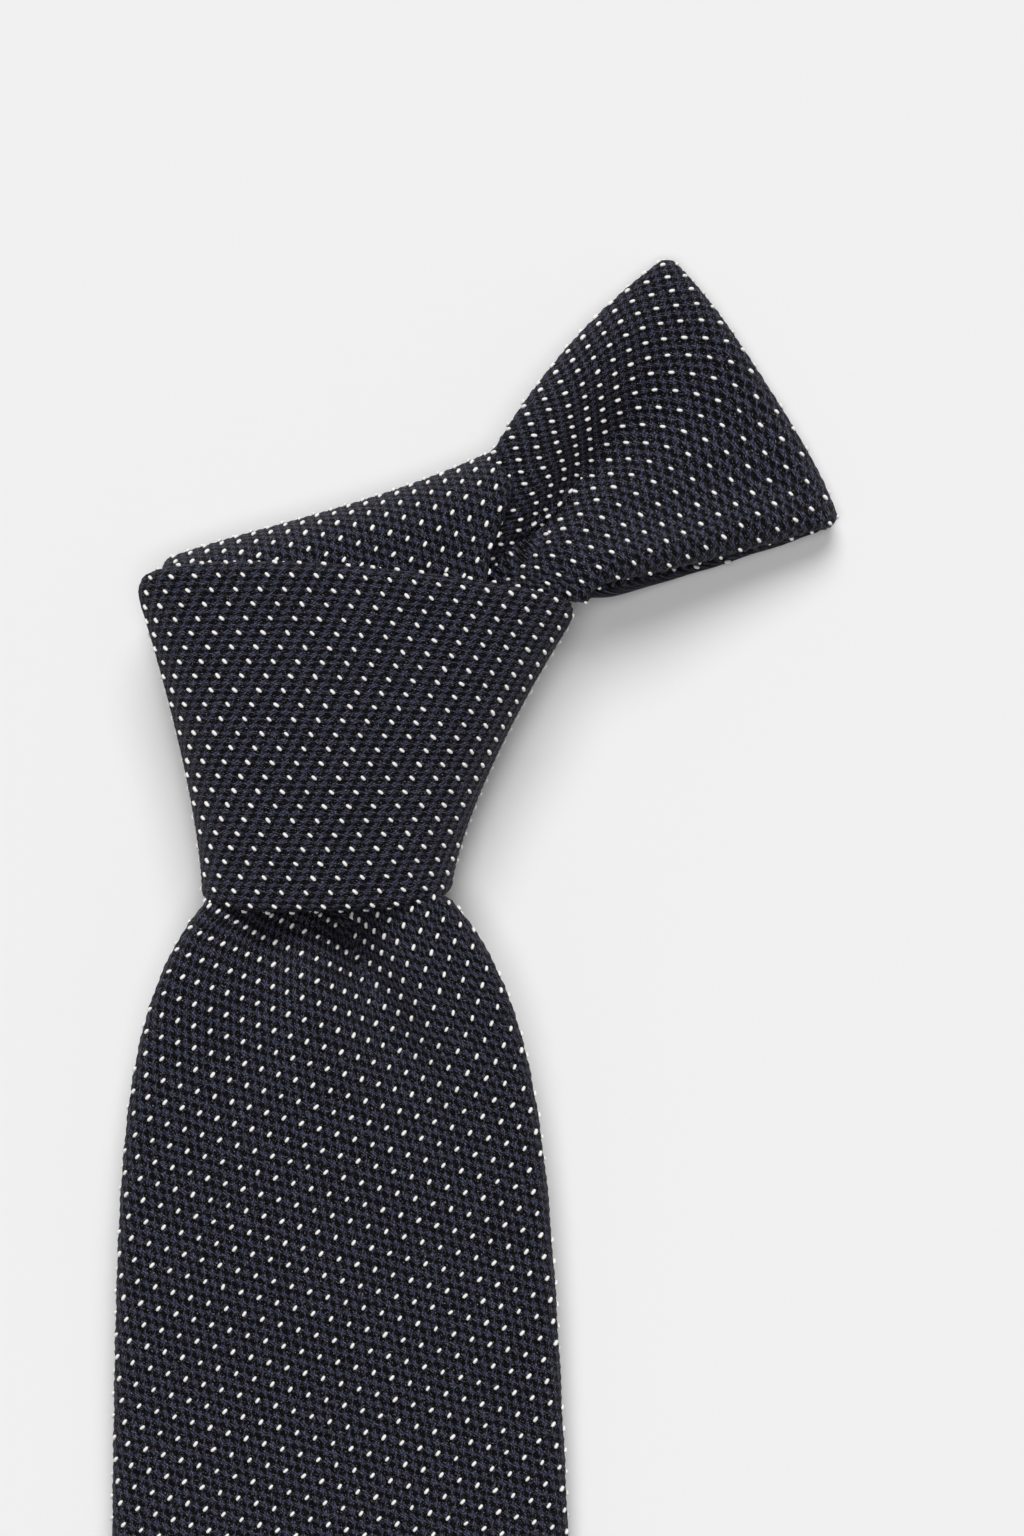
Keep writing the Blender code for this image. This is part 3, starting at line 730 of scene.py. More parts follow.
def cross_grid():
    """The first pass across the knot, which lies flat inside it between two straight ends."""
    edges = spaced((-14.0, 14.0), (1.4,))
    half = np.full(len(edges), 9.6)
    c, d, outer, middle = section(half, PASS_THICK, PASS_WALL, SEAM_HALF, *CROSS_CUTS)
    y = -7.2 + c
    spread = 1 + 0.012 * (y + 17)
    points = np.stack([edges[:, None] * spread, y, CROSS_Z + d], axis=-1)
    weave = lattice(points[..., :2], WRAP_REPEAT)
    return points, weave, outer, middle


def loop_edges(s, lower):
    """How far the loop reaches on each side of its axis: it spreads from the pinch to the fold
    in a line that bellies out a little, and narrows inside the knot."""
    f = np.clip(s / LOOP_LENGTH, 0, 1)
    inside = mix(10.6, 6.6, smoothstep(-s, 0, 6))
    upper_side = np.where(s < 0, inside, mix(10.6, 19.0, f) + 1.7 * arch(f))
    lower_side = np.where(s < 0, inside, mix(10.2, 18.9, f) + 0.5 * arch(f))
    open_out = np.where(s < 0, 0, 1 - f) * mix(-1.3, 0.5, lower) * smoothstep(s, -1, 3)
    return upper_side, lower_side + open_out


def loop_grid():
    """The neck loop: one band that runs out below, turns over in half a circle at its end and
    comes back on top. On top the cloth is a spoon: the fall from the knot to the fold, less two
    valleys that fork from the pinch and a shallow bowl, plus a rim along each side. All of them
    are bells across the cloth that fade in and out along it."""
    centre = LOOP_LENGTH - LOOP_TURN - LOOP_THICK / 2
    low = LOOP_THICK / 2 + 0.3
    high = low + 2 * LOOP_TURN
    out = spaced((-21.5, -2.0, centre), (1.6, 1.1))
    turn = np.radians(np.linspace(-90, 90, 22))[1:-1]
    back = spaced((-centre, 4.0, 14.0, 21.5), (0.29, 0.5, 1.2))
    s = np.concatenate([out, centre + LOOP_TURN * np.cos(turn), -back])
    z = np.concatenate(
        [
            mix(8.4, low, smoothstep(out, -3, 13)),
            low + LOOP_TURN + LOOP_TURN * np.sin(turn),
            mix(11.4, high, smoothstep(-back, -1, 27)),
        ]
    )
    on_top = np.concatenate([0 * out, (np.sin(turn) + 1) / 2, 0 * back + 1])
    upper_side, lower_side = loop_edges(s, 1 - on_top)
    half = (upper_side + lower_side) / 2
    c, d, outer, middle = section(half, LOOP_THICK, LOOP_WALL, SEAM_HALF, *LOOP_CUTS)
    run = np.stack([np.gradient(s), np.gradient(z)], axis=-1)
    run /= np.linalg.norm(run, axis=1, keepdims=True)
    t = ((upper_side - lower_side) / 2)[:, None] + c
    s2 = s[:, None] + run[:, 1:] * d
    z2 = z[:, None] - run[:, :1] * d
    f = np.clip(s2 / LOOP_LENGTH, 0, 1)
    top = on_top[:, None]
    near = smoothstep(s2, -9, 1)
    past = np.maximum(s2, 0)
    valley = 4.6 * bell(t, 0.3 * s2, 2.0 + 0.11 * past) * (1 - smoothstep(s2, 8, 25))
    branch = 1.2 * bell(t, -3.0 - 0.3 * s2, 2.2 + 0.14 * past)
    branch *= smoothstep(s2, -1, 6) * (1 - smoothstep(s2, 10, 26))
    bowl = 2.8 * bell(t, 0.0, 7.0) * bell(s2, 14, 9.0)
    rim = 2.3 * bell(t, 3.0 - lower_side[:, None], 2.6)
    rim *= smoothstep(s2, -2, 8) * (1 - smoothstep(s2, 22, 29))
    edge = 2.5 * bell(t, upper_side[:, None] - 3.6, 3.4)
    edge *= smoothstep(s2, -2, 6) * (1 - smoothstep(s2, 18, 29))
    z2 = z2 + top * (rim + edge - valley - branch - bowl * near)
    belly = 1 - np.clip(np.abs(t / half[:, None]), 0, 1) ** 3
    s2 = s2 + 1.5 * belly * smoothstep(s2, 12, 29)
    ex, ey = math.cos(LOOP_ANGLE), math.sin(LOOP_ANGLE)
    x = LOOP_PINCH[0] + ex * s2 - ey * t
    y = LOOP_PINCH[1] + ey * s2 + ex * t
    points = np.stack([x, y, z2], axis=-1)
    start = len(out) + len(turn)
    length, width = along(points, 0), along(points, 1)
    flat_s = s2[start] - (length - length[start])
    sign = np.sign(t[start, middle + 2] - t[start, middle])
    flat_t = t[:, middle : middle + 1] + sign * (width - width[:, middle : middle + 1])
    flat_x = LOOP_PINCH[0] + ex * flat_s - ey * flat_t
    flat_y = LOOP_PINCH[1] + ey * flat_s + ex * flat_t
    # the rows of the weave bend as arcs round the pinch
    apex = 40.7 + 0.7 * (flat_y - 45.2)
    away, width = np.abs(flat_x - apex), 13.0
    flat_y = flat_y + 0.0175 * np.where(away < width, away**2, width * (2 * away - width))
    weave = lattice(np.stack([flat_x, flat_y], axis=-1), LOOP_REPEAT, (0.4, 0.7))
    return points, weave, outer, middle


# ---------------------------------------------------------------- the blades


def blade_half(s):
    """Half the blade's width: a straight taper less a pinch that dies away from the knot, cut to
    a right-angled point, and drawn in where the blade goes up into the knot."""
    straight = BLADE_HALF - BLADE_TAPER * (BLADE_LENGTH - BLADE_POINT)
    pinch = (straight - 14.8) * np.exp(-s / GATHER_REACH)
    open_half = np.minimum(BLADE_HALF, straight + BLADE_TAPER * s - pinch)
    open_half = open_half + 0.25 - 2.9 * (1 - smoothstep(s, -2.6, -0.7))
    return np.maximum(0.7, np.minimum(open_half, BLADE_LENGTH + TIP_REACH - s))


def blade_level(s):
    """The height of the blade's middle: a smooth step down from the mouth to the tail."""
    return mix(MOUTH_Z, BLADE_REST_Z, smoothstep(s, 4, 90))


def blade_droop(across, s):
    """How far the blade's sides hang past the tail beneath, away from the mouth and the tip."""
    sides = smoothstep(np.abs(across), 12, 30)
    return 1.6 * sides * smoothstep(s, 4, 30) * smoothstep(BLADE_LENGTH - s, 20, 90)


def tail_level(s):
    """The height of the tail's middle: a smooth step down from the knot to the table."""
    return mix(5.1, 2.15, smoothstep(s, 46, 88))


def tail_point(half, s):
    """Half the tail's width, cut to its right-angled point."""
    return np.maximum(0.7, np.minimum(half, TAIL_LENGTH + TIP_REACH - s))


def blade_seam(s, tack, length, point, half):
    """Half the opening at the back: the seam, then the hems, which part below the tack."""
    apart = smoothstep(s, tack, length - point)
    return np.maximum(SEAM_HALF, apart * (half - HEM))


def blade_grid():
    """The front blade, from inside the mouth to its tip: a folded band on its level line. Near
    the mouth there is a hollow, with valleys and ridges that run out of it as bells across the
    cloth, which widen and die away. Below, its sides droop past the tail beneath."""
    s = spaced((-2.8, FINE_END, FINE_END + 24, 530.0, 560.0, 575.0), (0.36, 1.2, 4.6, 1.8, 0.8))
    half = blade_half(s)
    thick = BLADE_THICK * mix(0.42, 1.0, smoothstep(BLADE_LENGTH - s, -1, 9))
    seam = blade_seam(s, BLADE_TACK, BLADE_LENGTH, BLADE_POINT, half)
    c, d, outer, middle = section(half, thick, BLADE_WALL, seam, *BLADE_CUTS)
    z = blade_level(s)[:, None] + d
    row = s[:, None]
    front = np.clip(d / thick[:, None] + 0.5, 0, 1)
    ahead = np.maximum(row, 0)
    grip = np.exp(-ahead / 13)
    hollow = np.exp(-((ahead / 7.0) ** 2)) * bell(c, -1.0, 9.0)
    z -= hollow * mix(2.2, 3.8, front)
    z += mix(0.35, 1.0, front) * (
        1.6 * smoothstep(row, 2, 9) * np.exp(-ahead / 15) * bell(c, -2.0, 3.0)
        - 5.6 * np.exp(-((ahead / 23) ** 2)) * bell(c, 1.2 + 0.37 * ahead, 2.4 + 0.08 * ahead)
        + 1.2 * np.exp(-ahead / 14) * bell(c, 8.5 + 0.3 * row, 2.8 + 0.05 * ahead)
        - 2.8 * grip * bell(c, -6.0 - 0.26 * row, 2.4 + 0.09 * ahead)
    )
    z -= blade_droop(c, row)
    z += 0.35 * np.clip(1 - (c / half[:, None]) ** 2, 0, 1) * front
    points = np.stack([BLADE_LEAN * row + c, MOUTH_Y - row + 0 * c, z], axis=-1)
    width = along(points, 1)
    # the cloth is gathered at the mouth, so there its yarns run in from the sides
    gathered = 1 + 4.5 * np.exp(-ahead / GATHER_REACH) / half[:, None]
    flat_x = BLADE_LEAN * row - (width - width[:, middle : middle + 1]) * gathered
    flat = np.stack([flat_x, points[..., 1]], axis=-1)
    weave = lattice(flat, BLADE_REPEAT, (-0.4, -51.0))
    return points, weave, outer, middle, s


def tail_grid():
    """The tail blade, which starts inside the knot and lies on the table below it."""
    s = spaced((-TAIL_TOP, 100.0, 505.0, 532.0, 545.0), (2.0, 4.6, 1.8, 0.9))
    spread = mix(8.0, 17.0, smoothstep(s, 18, 62))
    taper = (TAIL_HALF - 17.0) / (TAIL_LENGTH - TAIL_POINT)
    half = tail_point(np.minimum(TAIL_HALF, spread + taper * np.maximum(0, s)), s)
    thick = TAIL_THICK * mix(0.42, 1.0, smoothstep(TAIL_LENGTH - s, -1, 8))
    level = tail_level(s) - (TAIL_THICK - thick) / 2
    # inside the knot, and as far as it can be pulled into it, the tail is pressed up and thinner
    pressed = 0.2 * (1 - smoothstep(s, 32, 60))
    level = level + TAIL_THICK * pressed / 2
    thick = thick * (1 - pressed)
    seam = blade_seam(s, TAIL_TACK, TAIL_LENGTH, TAIL_POINT, half)
    c, d, outer, middle = section(half, thick, TAIL_WALL, seam, *TAIL_CUTS)
    z = level[:, None] + d
    row = s[:, None]
    y = MOUTH_Y - row + 0.357 * c * (1 - smoothstep(row, -TAIL_TOP, -TAIL_TOP + 5))
    points = np.stack([c, y, z], axis=-1)
    width = along(points, 1)
    flat_x = -(width - width[:, middle : middle + 1])
    weave = lattice(np.stack([flat_x, y], axis=-1), BLADE_REPEAT)
    return points, weave, outer, middle, s


def strip_grid(s, half, centre_x, y, low, high):
    """A flat strip: for each place along it, a rectangle with eased corners."""
    values = (half, centre_x, y, low, high)
    values = (np.broadcast_to(np.asarray(v, float), s.shape)[:, None] for v in values)
    half, centre_x, y, low, high = values
    ease = np.minimum(0.15, (high - low) / 3)
    across = np.array([1, 1, 1, 0.5, 0, -0.5, -1, -1, -1, -0.5, 0, 0.5], float)[None]
    inset = np.array([0, 0, 1, 0, 0, 0, 1, 0, 0, 0, 0, 0], float)[None]
    level = np.array([0, 0, 1, 1, 1, 1, 1, 0, 0, 0, 0, 0], float)[None]
    drop = np.array([0, 1, 0, 0, 0, 0, 0, -1, 0, 0, 0, 0], float)[None]
    x = centre_x + across * half - inset * np.sign(across) * ease
    z = mix(low, high, level) + np.abs(drop) * (high - low) / 2
    return np.stack([x, y + 0 * x, z], axis=-1)


# ---------------------------------------------------------------- settings


class TieWeaveSettings(bpy.types.PropertyGroup):
    """Sizes in the weave."""

    dot_length: FloatProperty(
        name="Dot length", description="Length of an ivory float", default=0.00078, unit="LENGTH"
    )
    dot_width: FloatProperty(
        name="Dot width", description="Width of an ivory float", default=0.00040, unit="LENGTH"
    )
    dot_height: FloatProperty(
        name="Dot height", description="Height of a float", default=0.00020, unit="LENGTH"
    )
    relief: FloatProperty(
        name="Relief", description="Depth of the gauze's holes", default=0.00022, unit="LENGTH"
    )


def colour_property(name, description, value):
    look = dict(default=linear(value), subtype="COLOR", size=3, min=0.0, max=1.0)
    return FloatVectorProperty(name=name, description=description, **look)


class TieColourSettings(bpy.types.PropertyGroup):
    """Colours of the cloth and of the stage."""

    yarn: colour_property("Yarn", "Navy of the gauze's yarns", "#1e2238")
    shade: colour_property("Yarn in shade", "The browner yarns between them", "#1c1618")
    sheen: colour_property("Lit yarn", "Yarn that turns up to the light", "#5a5c76")
    glint: colour_property("Glints", "Single filaments that catch the light", "#a09fa8")
    # painted shade: the near-black inside the gauze's open holes, where little light reaches
    hole_shade: colour_property("Holes", "The open holes of the gauze", "#030304")
    ivory: colour_property("Dots", "Ivory silk of the dots", "#fffcfa")
    ivory_shade: colour_property("Dots, darker", "The duller of the dots", "#e9e3e1")
    floor: colour_property("Floor", "The pale table", "#f0f0f0")


class TieStageSettings(bpy.types.PropertyGroup):
    """The view and its light."""

    lens: FloatProperty(
        name="Lens", description="Focal length in millimetres", default=200.0, min=20.0
    )
    view_height: FloatProperty(
        name="View height", description="Top to bottom of view", default=0.1822, unit="LENGTH"
    )
    key: FloatProperty(
        name="Key light", description="Soft light from beyond the knot", default=2.20, min=0.0
    )
    overhead: FloatProperty(
        name="Overhead light", description="Broad light from above", default=1.20, min=0.0
    )
    sky: FloatProperty(
        name="Fill light", description="Even white surroundings", default=0.09, min=0.0
    )


# ---------------------------------------------------------------- operators


def dressed(name, built, repeat, angle, keep=None, close_rows=False, away=(0, 0, 1)):
    """The cloth of one fine piece with its relief, and its dots: (cloth, dots)."""
    points, weave, outer, middle = built[:4]
    depth = bpy.context.scene.tie_weave.relief / MM
    normal = outward(points, middle, away)
    if close_rows:
        normal[0] = normal[-1] = normal[1]
    moved = raise_weave(points, weave, normal, outer, depth, 1.0)
    if close_rows:
        moved[-1] = moved[0]
    cloth = band_mesh(name + "_cloth", moved, finish_of("grenadine"), weave, close_rows)
    woven = (points, weave, normal, (0, outer), repeat, angle)
    dots = pin_dots(name + "_dots", *woven, finish_of("ivory"), keep)
    return cloth, dots


class TIE_OT_wrap(bpy.types.Operator):
    """Builds the band that circles the knot, with its dots"""

    bl_idname = "tie.wrap"
    bl_label = "Front wrap"

    def execute(self, context):
        made_from = (wrap_grid(), WRAP_REPEAT, WRAP_DOT_ANGLE)
        cloth, dots = dressed("front_wrap", *made_from, close_rows=True)
        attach(cloth, "knot")
        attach(dots, "knot")
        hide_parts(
            "front_wrap", "front_wrap_interlining", "back_wrap", "back_wrap_interlining"
        )
        return {"FINISHED"}


class TIE_OT_crest(bpy.types.Operator):
    """Builds the band over the top of the knot and the pass across its middle"""

    bl_idname = "tie.crest"
    bl_label = "Inner passes"

    def execute(self, context):
        cloth, dots = dressed(
            "over_top",
            crest_grid(),
            BLADE_REPEAT,
            CREST_DOT_ANGLE,
            keep=lambda p: (p[..., 1] > 12) | (p[..., 2] < 4),
            away=(0, 0.5, 1),
        )
        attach(cloth, "knot")
        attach(dots, "knot")
        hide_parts("over_top_pass", "over_top_pass_interlining")
        points, weave, outer, middle = cross_grid()
        inner = band_mesh("first_cross_cloth", points, finish_of("grenadine"), weave)
        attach(inner, "knot")
        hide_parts("first_cross", "first_cross_interlining")
        return {"FINISHED"}


class TIE_OT_loop(bpy.types.Operator):
    """Builds the neck loop, with its dots"""

    bl_idname = "tie.loop"
    bl_label = "Neck loop"

    def execute(self, context):
        cloth, dots = dressed("neck_loop", loop_grid(), LOOP_REPEAT, LOOP_DOT_ANGLE)
        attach(cloth, "neck_loop")
        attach(dots, "neck_loop")
        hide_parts("neck_shell", "neck_interlining")
        return {"FINISHED"}


def far_dots(name, grid, columns, material, from_row):
    """Plain dots where the mesh is coarse, placed on rows added between its own."""
    points, weave, outer, middle = grid[:4]
    normal = outward(points, middle, (0, 0, 1))
    fine = [finer_rows(v[from_row:], 6) for v in (points, weave, normal)]
    return pin_dots(name, *fine, columns, BLADE_REPEAT, BLADE_DOT_ANGLE, material, fine=False)


class TIE_OT_blade(bpy.types.Operator):
    """Builds the front blade, with its dots"""

    bl_idname = "tie.blade"
    bl_label = "Front blade"

    def execute(self, context):
        grid = blade_grid()
        points, weave, outer, middle, s = grid
        depth = context.scene.tie_weave.relief / MM
        normal = outward(points, middle, (0, 0, 1))
        fade = (1 - smoothstep(s, FINE_END - 6, FINE_END))[:, None]
        moved = raise_weave(points, weave, normal, outer, depth, fade)
        cloth = band_mesh("blade_cloth", moved, finish_of("grenadine"), weave)
        fine_rows = int((s < FINE_END).sum()) + 1
        near = [v[:fine_rows] for v in (points, weave, normal)]
        ivory_silk = finish_of("ivory")
        near = (*near, (0, outer), BLADE_REPEAT, BLADE_DOT_ANGLE)
        pieces = [cloth, pin_dots("blade_upper_dots", *near, ivory_silk)]
        # front and back meet halfway round each edge
        turn = BLADE_CUTS[2] + BLADE_CUTS[1] // 2
        for name, columns in (
            ("blade_lower_dots", (turn, outer - turn)),
            ("blade_back_right_dots", (0, turn + 1)),
            ("blade_back_left_dots", (outer - turn - 1, outer)),
        ):
            pieces.append(far_dots(name, grid, columns, ivory_silk, fine_rows - 1))
        for piece in pieces:
            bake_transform(piece)
        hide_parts("front_blade_shell")
        return {"FINISHED"}


class TIE_OT_tail(bpy.types.Operator):
    """Builds the tail blade, with its dots"""

    bl_idname = "tie.tail"
    bl_label = "Tail blade"

    def execute(self, context):
        grid = tail_grid()
        points, weave, outer, middle, s = grid
        cloth = band_mesh("tail_cloth", points, finish_of("grenadine"), weave)
        # the first rows are inside the knot, where no dots are needed
        dots = far_dots("tail_dots", grid, (0, outer), finish_of("ivory"), 6)
        for piece in (cloth, dots):
            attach(piece, "tail")
        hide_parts("tail_shell")
        return {"FINISHED"}


def tipping_piece(name, s, half, centre_x, low, body, node_name):
    points = strip_grid(s, half, centre_x, MOUTH_Y - s, low, low + TIPPING_THICK)
    piece = band_mesh(name, points, finish_of("lining"))
    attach(piece, body)
    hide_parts(node_name)
    return piece


class TIE_OT_linings(bpy.types.Operator):
    """Builds the satin tippings in the points and the wool inside the blades"""

    bl_idname = "tie.linings"
    bl_label = "Linings"

    def execute(self, context):
        shoulder = BLADE_LENGTH - BLADE_POINT
        s = spaced((BLADE_TACK - 4, shoulder, BLADE_LENGTH - 6.0), (2.0, 1.4))
        half = blade_half(s)
        wide = blade_seam(s, BLADE_TACK, BLADE_LENGTH, BLADE_POINT, half) + 0.6 * HEM
        wide = np.minimum(wide, half - 2.3)
        low = BLADE_REST_Z - BLADE_THICK / 2 + BLADE_WALL + GAP
        strip = (s, wide, BLADE_LEAN * s, low)
        blade = tipping_piece("blade_tipping", *strip, "front_blade", "front_blade_tipping")
        s = spaced((TAIL_TACK - 4, TAIL_LENGTH - TAIL_POINT, TAIL_LENGTH - 5.0), (2.0, 1.2))
        half = tail_point(TAIL_HALF, s)
        wide = blade_seam(s, TAIL_TACK, TAIL_LENGTH, TAIL_POINT, half) + 0.6 * HEM
        strip = (s, np.minimum(wide, half - 2.1), 0.0, TAIL_WALL + GAP)
        tail = tipping_piece("tail_tip_lining", *strip, "tail", "tail_tipping")
        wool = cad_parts["tail_interlining"]
        wool.data.materials.clear()
        wool.data.materials.append(finish_of("wool"))
        s = spaced((30.0, BLADE_LENGTH - 12.0), (12.0,))
        half = np.minimum(blade_half(s) - 2.6, BLADE_LENGTH - 6 - s)
        low = blade_level(s) + 0.1
        points = strip_grid(s, half, BLADE_LEAN * s, MOUTH_Y - s, low, low + WOOL_THICK)
        points[..., 2] -= blade_droop(points[..., 0], s[:, None])
        inner = band_mesh("blade_interlining", points, finish_of("wool"))
        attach(inner, "front_blade")
        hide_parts("front_blade_interlining")
        return {"FINISHED"}


def threads(name, lines, radius, sides=6):
    """Round threads of sewing silk along lines of one length each: circles of points in the
    planes across them."""
    run = np.gradient(lines, axis=1)
    run /= np.linalg.norm(run, axis=2, keepdims=True)
    side = np.cross(run, (0.0, 0.0, 1.0))
    side /= np.maximum(np.linalg.norm(side, axis=2, keepdims=True), 1e-9)
    up = np.cross(side, run)
    turn = (2 * math.pi * np.arange(sides) / sides)[:, None]
    circles = np.cos(turn) * side[:, :, None] + np.sin(turn) * up[:, :, None]
    points = (lines[:, :, None] + radius * circles).reshape(len(lines), -1, 3)
    piece = many(name, points, *capped(lines.shape[1], sides), finish_of("thread"))
    return piece


def slip_stitch(name, first, last, centre, z, body, node_name):
    """A thread that swings from one edge of the seam to the other, as a sine."""
    s = np.arange(first, last, STITCH_PITCH / 8)
    x = centre(s) + STITCH_SWING * np.sin(math.pi * s / STITCH_PITCH)
    piece = threads(name, np.stack([x, MOUTH_Y - s, z(s)], axis=1)[None], THREAD_RADIUS)
    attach(piece, body)
    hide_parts(node_name)


def bar_tack(name, centre, half, low, high, body, node_name):
    """A tack: close turns of thread laid over one another in a short bar. The line swings from
    side to side as a cosine while it moves along the bar."""
    turns = int(2 * half / TACK_PITCH)
    t = np.linspace(0, 1, turns * 10 + 1)
    x = centre[0] + mix(-half, half, t)
    y = centre[1] + 0.6 * np.cos(2 * math.pi * turns * t)
    z = mix(low, high, 0.5) + 0.12 * np.sin(2 * math.pi * turns * t)
    piece = threads(name, np.stack([x, y, z], axis=1)[None], TACK_THREAD_RADIUS, 5)
    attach(piece, body)
    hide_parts(node_name)


class TIE_OT_stitches(bpy.types.Operator):
    """Builds the slip stitches in the back seams and the bar tacks at their ends"""

    bl_idname = "tie.stitches"
    bl_label = "Stitching"

    def execute(self, context):
        slip_stitch(
            "blade_slip_stitch",
            42.0,
            BLADE_TACK - 6,
            lambda s: BLADE_LEAN * s,
            lambda s: blade_level(s) - BLADE_THICK / 2,
            "front_blade",
            "front_slip_stitch",
        )
        slip_stitch(
            "tail_seam_stitch",
            31.0,
            TAIL_TACK - 6,
            lambda s: 0 * s,
            lambda s: tail_level(s) - TAIL_THICK / 2,
            "tail",
            "tail_slip_stitch",
        )
        low, high = (v.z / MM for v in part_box("front_bar_tack"))
        centre = (BLADE_LEAN * BLADE_TACK, MOUTH_Y - BLADE_TACK)
        bar_tack("blade_tack", centre, 4.5, low, high, "front_blade", "front_bar_tack")
        a, b = (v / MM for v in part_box("tail_bar_tack"))
        centre = ((a.x + b.x) / 2, (a.y + b.y) / 2)
        half = (b.x - a.x) / 2
        bar_tack("tail_tack", centre, half, a.z, b.z, "tail", "tail_bar_tack")
        return {"FINISHED"}


def sewn_edges(name, centre, half, z, pitch):
    """Short stitches in a line round a rectangle, a little inside its edge."""
    share = np.linspace(0, 1, 5)
    lines = []
    for across, along_axis in ((0, 1), (1, 0)):
        reach = half[along_axis]
        count = int(2 * reach / pitch)
        middle = -reach + (np.arange(count) + 0.5) * 2 * reach / count
        ahead = middle[:, None] + (share - 0.5) * 0.62 * pitch
        for sign in (-1, 1):
            line = np.empty((count, len(share), 3))
            line[..., across] = centre[across] + sign * half[across]
            line[..., along_axis] = centre[along_axis] + ahead
            line[..., 2] = z - 0.12 * arch(share)
            lines.append(line)
    return threads(name, np.concatenate(lines), FINE_THREAD_RADIUS, 5)


class TIE_OT_trim(bpy.types.Operator):
    """Builds the keeper loop and the two blank labels on the back of the blade"""

    bl_idname = "tie.trim"
    bl_label = "Keeper and labels"

    def execute(self, context):
        for node_name in ("maker_label", "care_label"):
            a, b = (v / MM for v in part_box(node_name))
            centre, half = (a + b) / 2, (b - a) / 2
            outline = ((centre.x, half.x), (centre.y, half.y))
            name = node_name + "_ribbon"
            piece = block_mesh(name, *outline, a.z, b.z, finish_of("label"))
            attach(piece, "front_blade")
            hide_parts(node_name)
            seam = (half.x - 1.2, half.y - 1.2)
            seams = sewn_edges(name + "_stitches", (centre.x, centre.y), seam, a.z, 2.0)
            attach(seams, "front_blade")
        a, b = (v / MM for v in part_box("keeper_loop"))
        centre, half = (a + b) / 2, (b - a) / 2
        x = np.linspace(-half.x, half.x, 79)
        top = b.z - 0.3 * smoothstep(half.x - np.abs(x), 4, 7)
        strip_y = np.concatenate([np.linspace(1, -1, 21), np.linspace(-1, 1, 21)])[None] * half.y
        side = np.concatenate([np.full(21, 1.0), np.full(21, 0.0)])[None]
        eased = 1 - np.abs(strip_y / half.y) ** 12 * 0.35
        z = top[:, None] - 0.35 + (side - 0.5) * 0.7 * eased
        points = np.stack([centre.x + x[:, None] + 0 * z, centre.y + strip_y + 0 * z, z], axis=-1)
        flat = np.stack([points[..., 0], points[..., 1] + side * 20], axis=-1)
        weave = lattice(flat, BLADE_REPEAT)
        keeper = band_mesh("keeper_cloth", points, finish_of("grenadine"), weave)
        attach(keeper, "front_blade")
        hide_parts("keeper_loop")
        return {"FINISHED"}


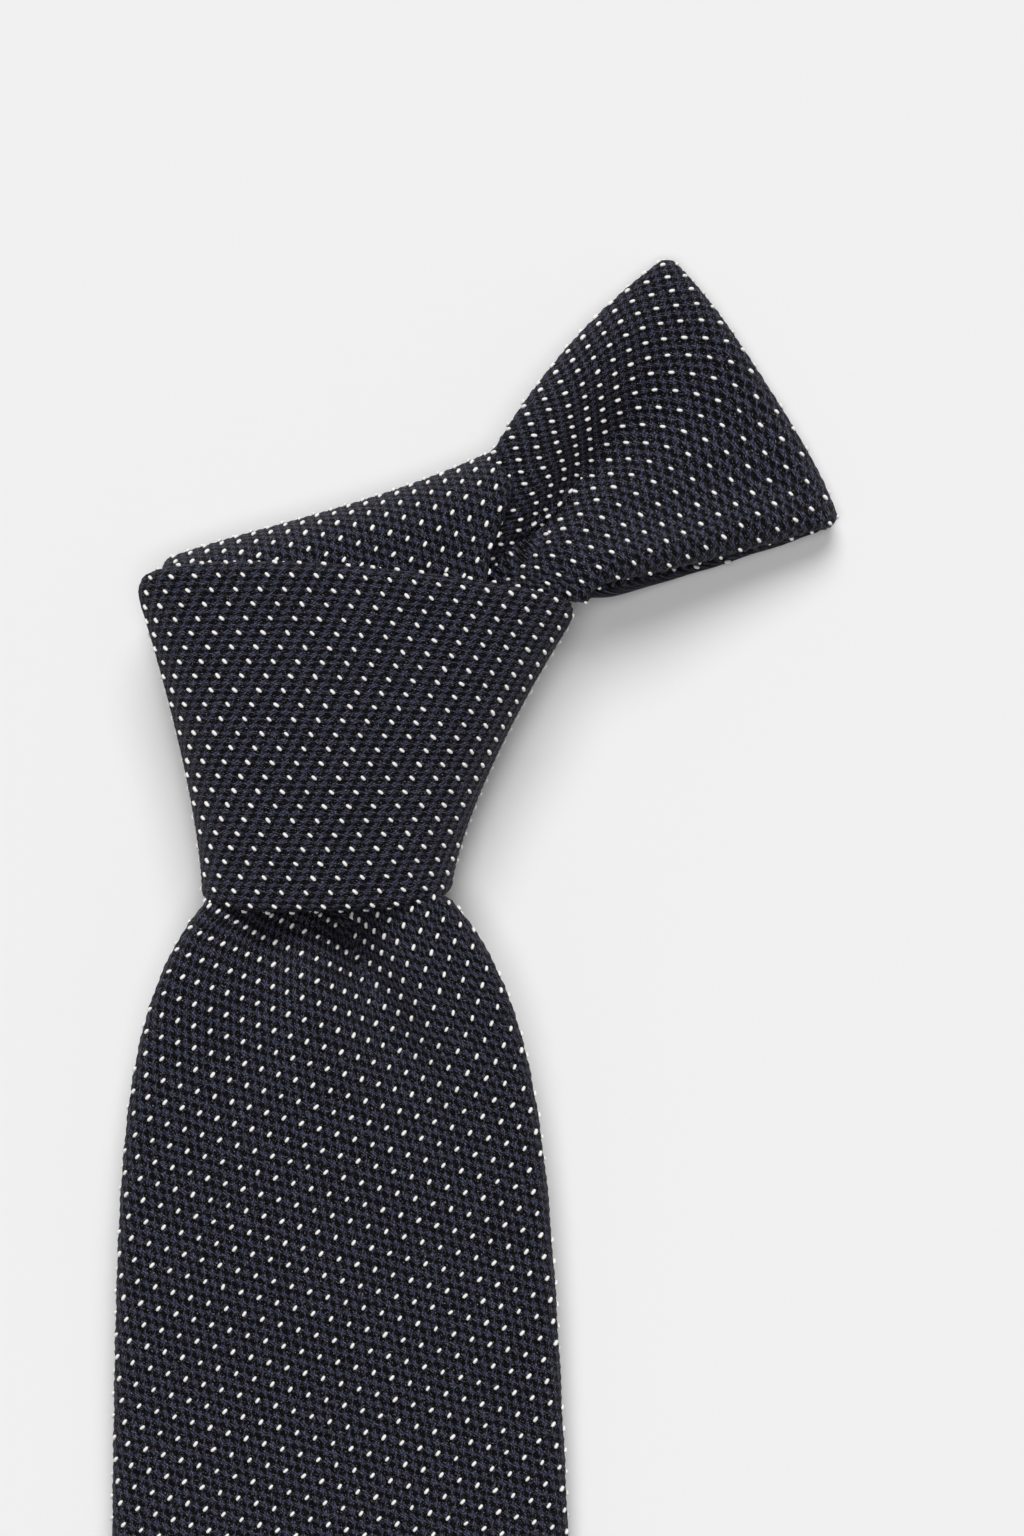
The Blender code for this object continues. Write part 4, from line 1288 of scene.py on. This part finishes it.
class TIE_OT_stage(bpy.types.Operator):
    """Builds the pale table, the soft light and the camera"""

    bl_idname = "tie.stage"
    bl_label = "Stage"

    def execute(self, context):
        scene = context.scene
        settings = scene.tie_stage
        # seamless paper: very matt, even, with the least grain
        material, tree, shader = surface("seamless paper, uncoated")
        place = node(tree, "ShaderNodeTexCoord", out="Object")
        grain = node(tree, NOISE, {"Vector": place, "Scale": 40.0, "Detail": 3.0})
        pale = np.array(scene.tie_colours.floor)
        layers = {"Factor": grain, 6: rgba(pale * 0.998), 7: rgba(pale)}
        colour = node(tree, MIX, layers, out=2, data_type="RGBA")
        finish(tree, shader, colour, None, Roughness=0.95, Specular_IOR_Level=0.0)
        corner = np.array([[-1, -1], [1, -1], [1, 1], [-1, 1]], float) * FLOOR_HALF
        points = np.concatenate([corner, np.full((4, 1), FLOOR_Z)], axis=1)
        floor = bpy.data.meshes.new("floor")
        floor.from_pydata((points * MM).tolist(), [], [(0, 1, 2, 3)])
        floor.materials.append(material)
        table = bpy.data.objects.new("floor", floor)
        scene.collection.objects.link(table)
        world = bpy.data.worlds.new("studio")
        world.use_nodes = True
        backdrop = world.node_tree.nodes["Background"]
        backdrop.inputs["Color"].default_value = (1, 1, 1, 1)
        backdrop.inputs["Strength"].default_value = settings.sky
        scene.world = world
        for name, strength, spread, heading in (
            ("key", settings.key, 32, (0.0, -0.84, -1.0)),
            ("overhead", settings.overhead, 28, (0.04, 0.05, -1.0)),
        ):
            lamp = bpy.data.lights.new(name, "SUN")
            lamp.energy = strength
            lamp.angle = math.radians(spread)
            light = bpy.data.objects.new(name, lamp)
            light.rotation_euler = Vector(heading).to_track_quat("-Z", "Y").to_euler()
            scene.collection.objects.link(light)
        camera = bpy.data.cameras.new("camera")
        camera.lens = settings.lens
        camera.sensor_fit = "VERTICAL"
        camera.sensor_height = 36.0
        camera.clip_start = 0.01
        camera.clip_end = 60.0
        eye = bpy.data.objects.new("camera", camera)
        distance = settings.view_height * settings.lens / camera.sensor_height
        eye.location = Vector(VIEW_CENTRE) + Vector((0.0, 0.0, distance))
        scene.collection.objects.link(eye)
        scene.camera = eye
        scene.view_settings.view_transform = "Standard"
        return {"FINISHED"}


STEPS = (
    TIE_OT_wrap,
    TIE_OT_crest,
    TIE_OT_loop,
    TIE_OT_tail,
    TIE_OT_blade,
    TIE_OT_linings,
    TIE_OT_stitches,
    TIE_OT_trim,
    TIE_OT_stage,
)


class TIE_PT_panel(bpy.types.Panel):
    """Lists the steps and the settings"""

    bl_idname = "TIE_PT_panel"
    bl_label = "Necktie"
    bl_space_type = "VIEW_3D"
    bl_region_type = "UI"
    bl_category = "Necktie"

    def draw(self, context):
        for step in STEPS:
            self.layout.operator(step.bl_idname)
        for group in (context.scene.tie_weave, context.scene.tie_colours, context.scene.tie_stage):
            for key in group.__annotations__:
                self.layout.prop(group, key)


GROUPS = (
    ("tie_weave", TieWeaveSettings),
    ("tie_colours", TieColourSettings),
    ("tie_stage", TieStageSettings),
)


def register():
    for name, group in GROUPS:
        bpy.utils.register_class(group)
        setattr(bpy.types.Scene, name, PointerProperty(type=group))
    for step in STEPS + (TIE_PT_panel,):
        bpy.utils.register_class(step)


def unregister():
    for step in (TIE_PT_panel,) + STEPS[::-1]:
        bpy.utils.unregister_class(step)
    for name, group in GROUPS[::-1]:
        delattr(bpy.types.Scene, name)
        bpy.utils.unregister_class(group)


def main():
    register()
    for step in STEPS:
        group, name = step.bl_idname.split(".")
        getattr(getattr(bpy.ops, group), name)()


if __name__ == "__main__":
    main()
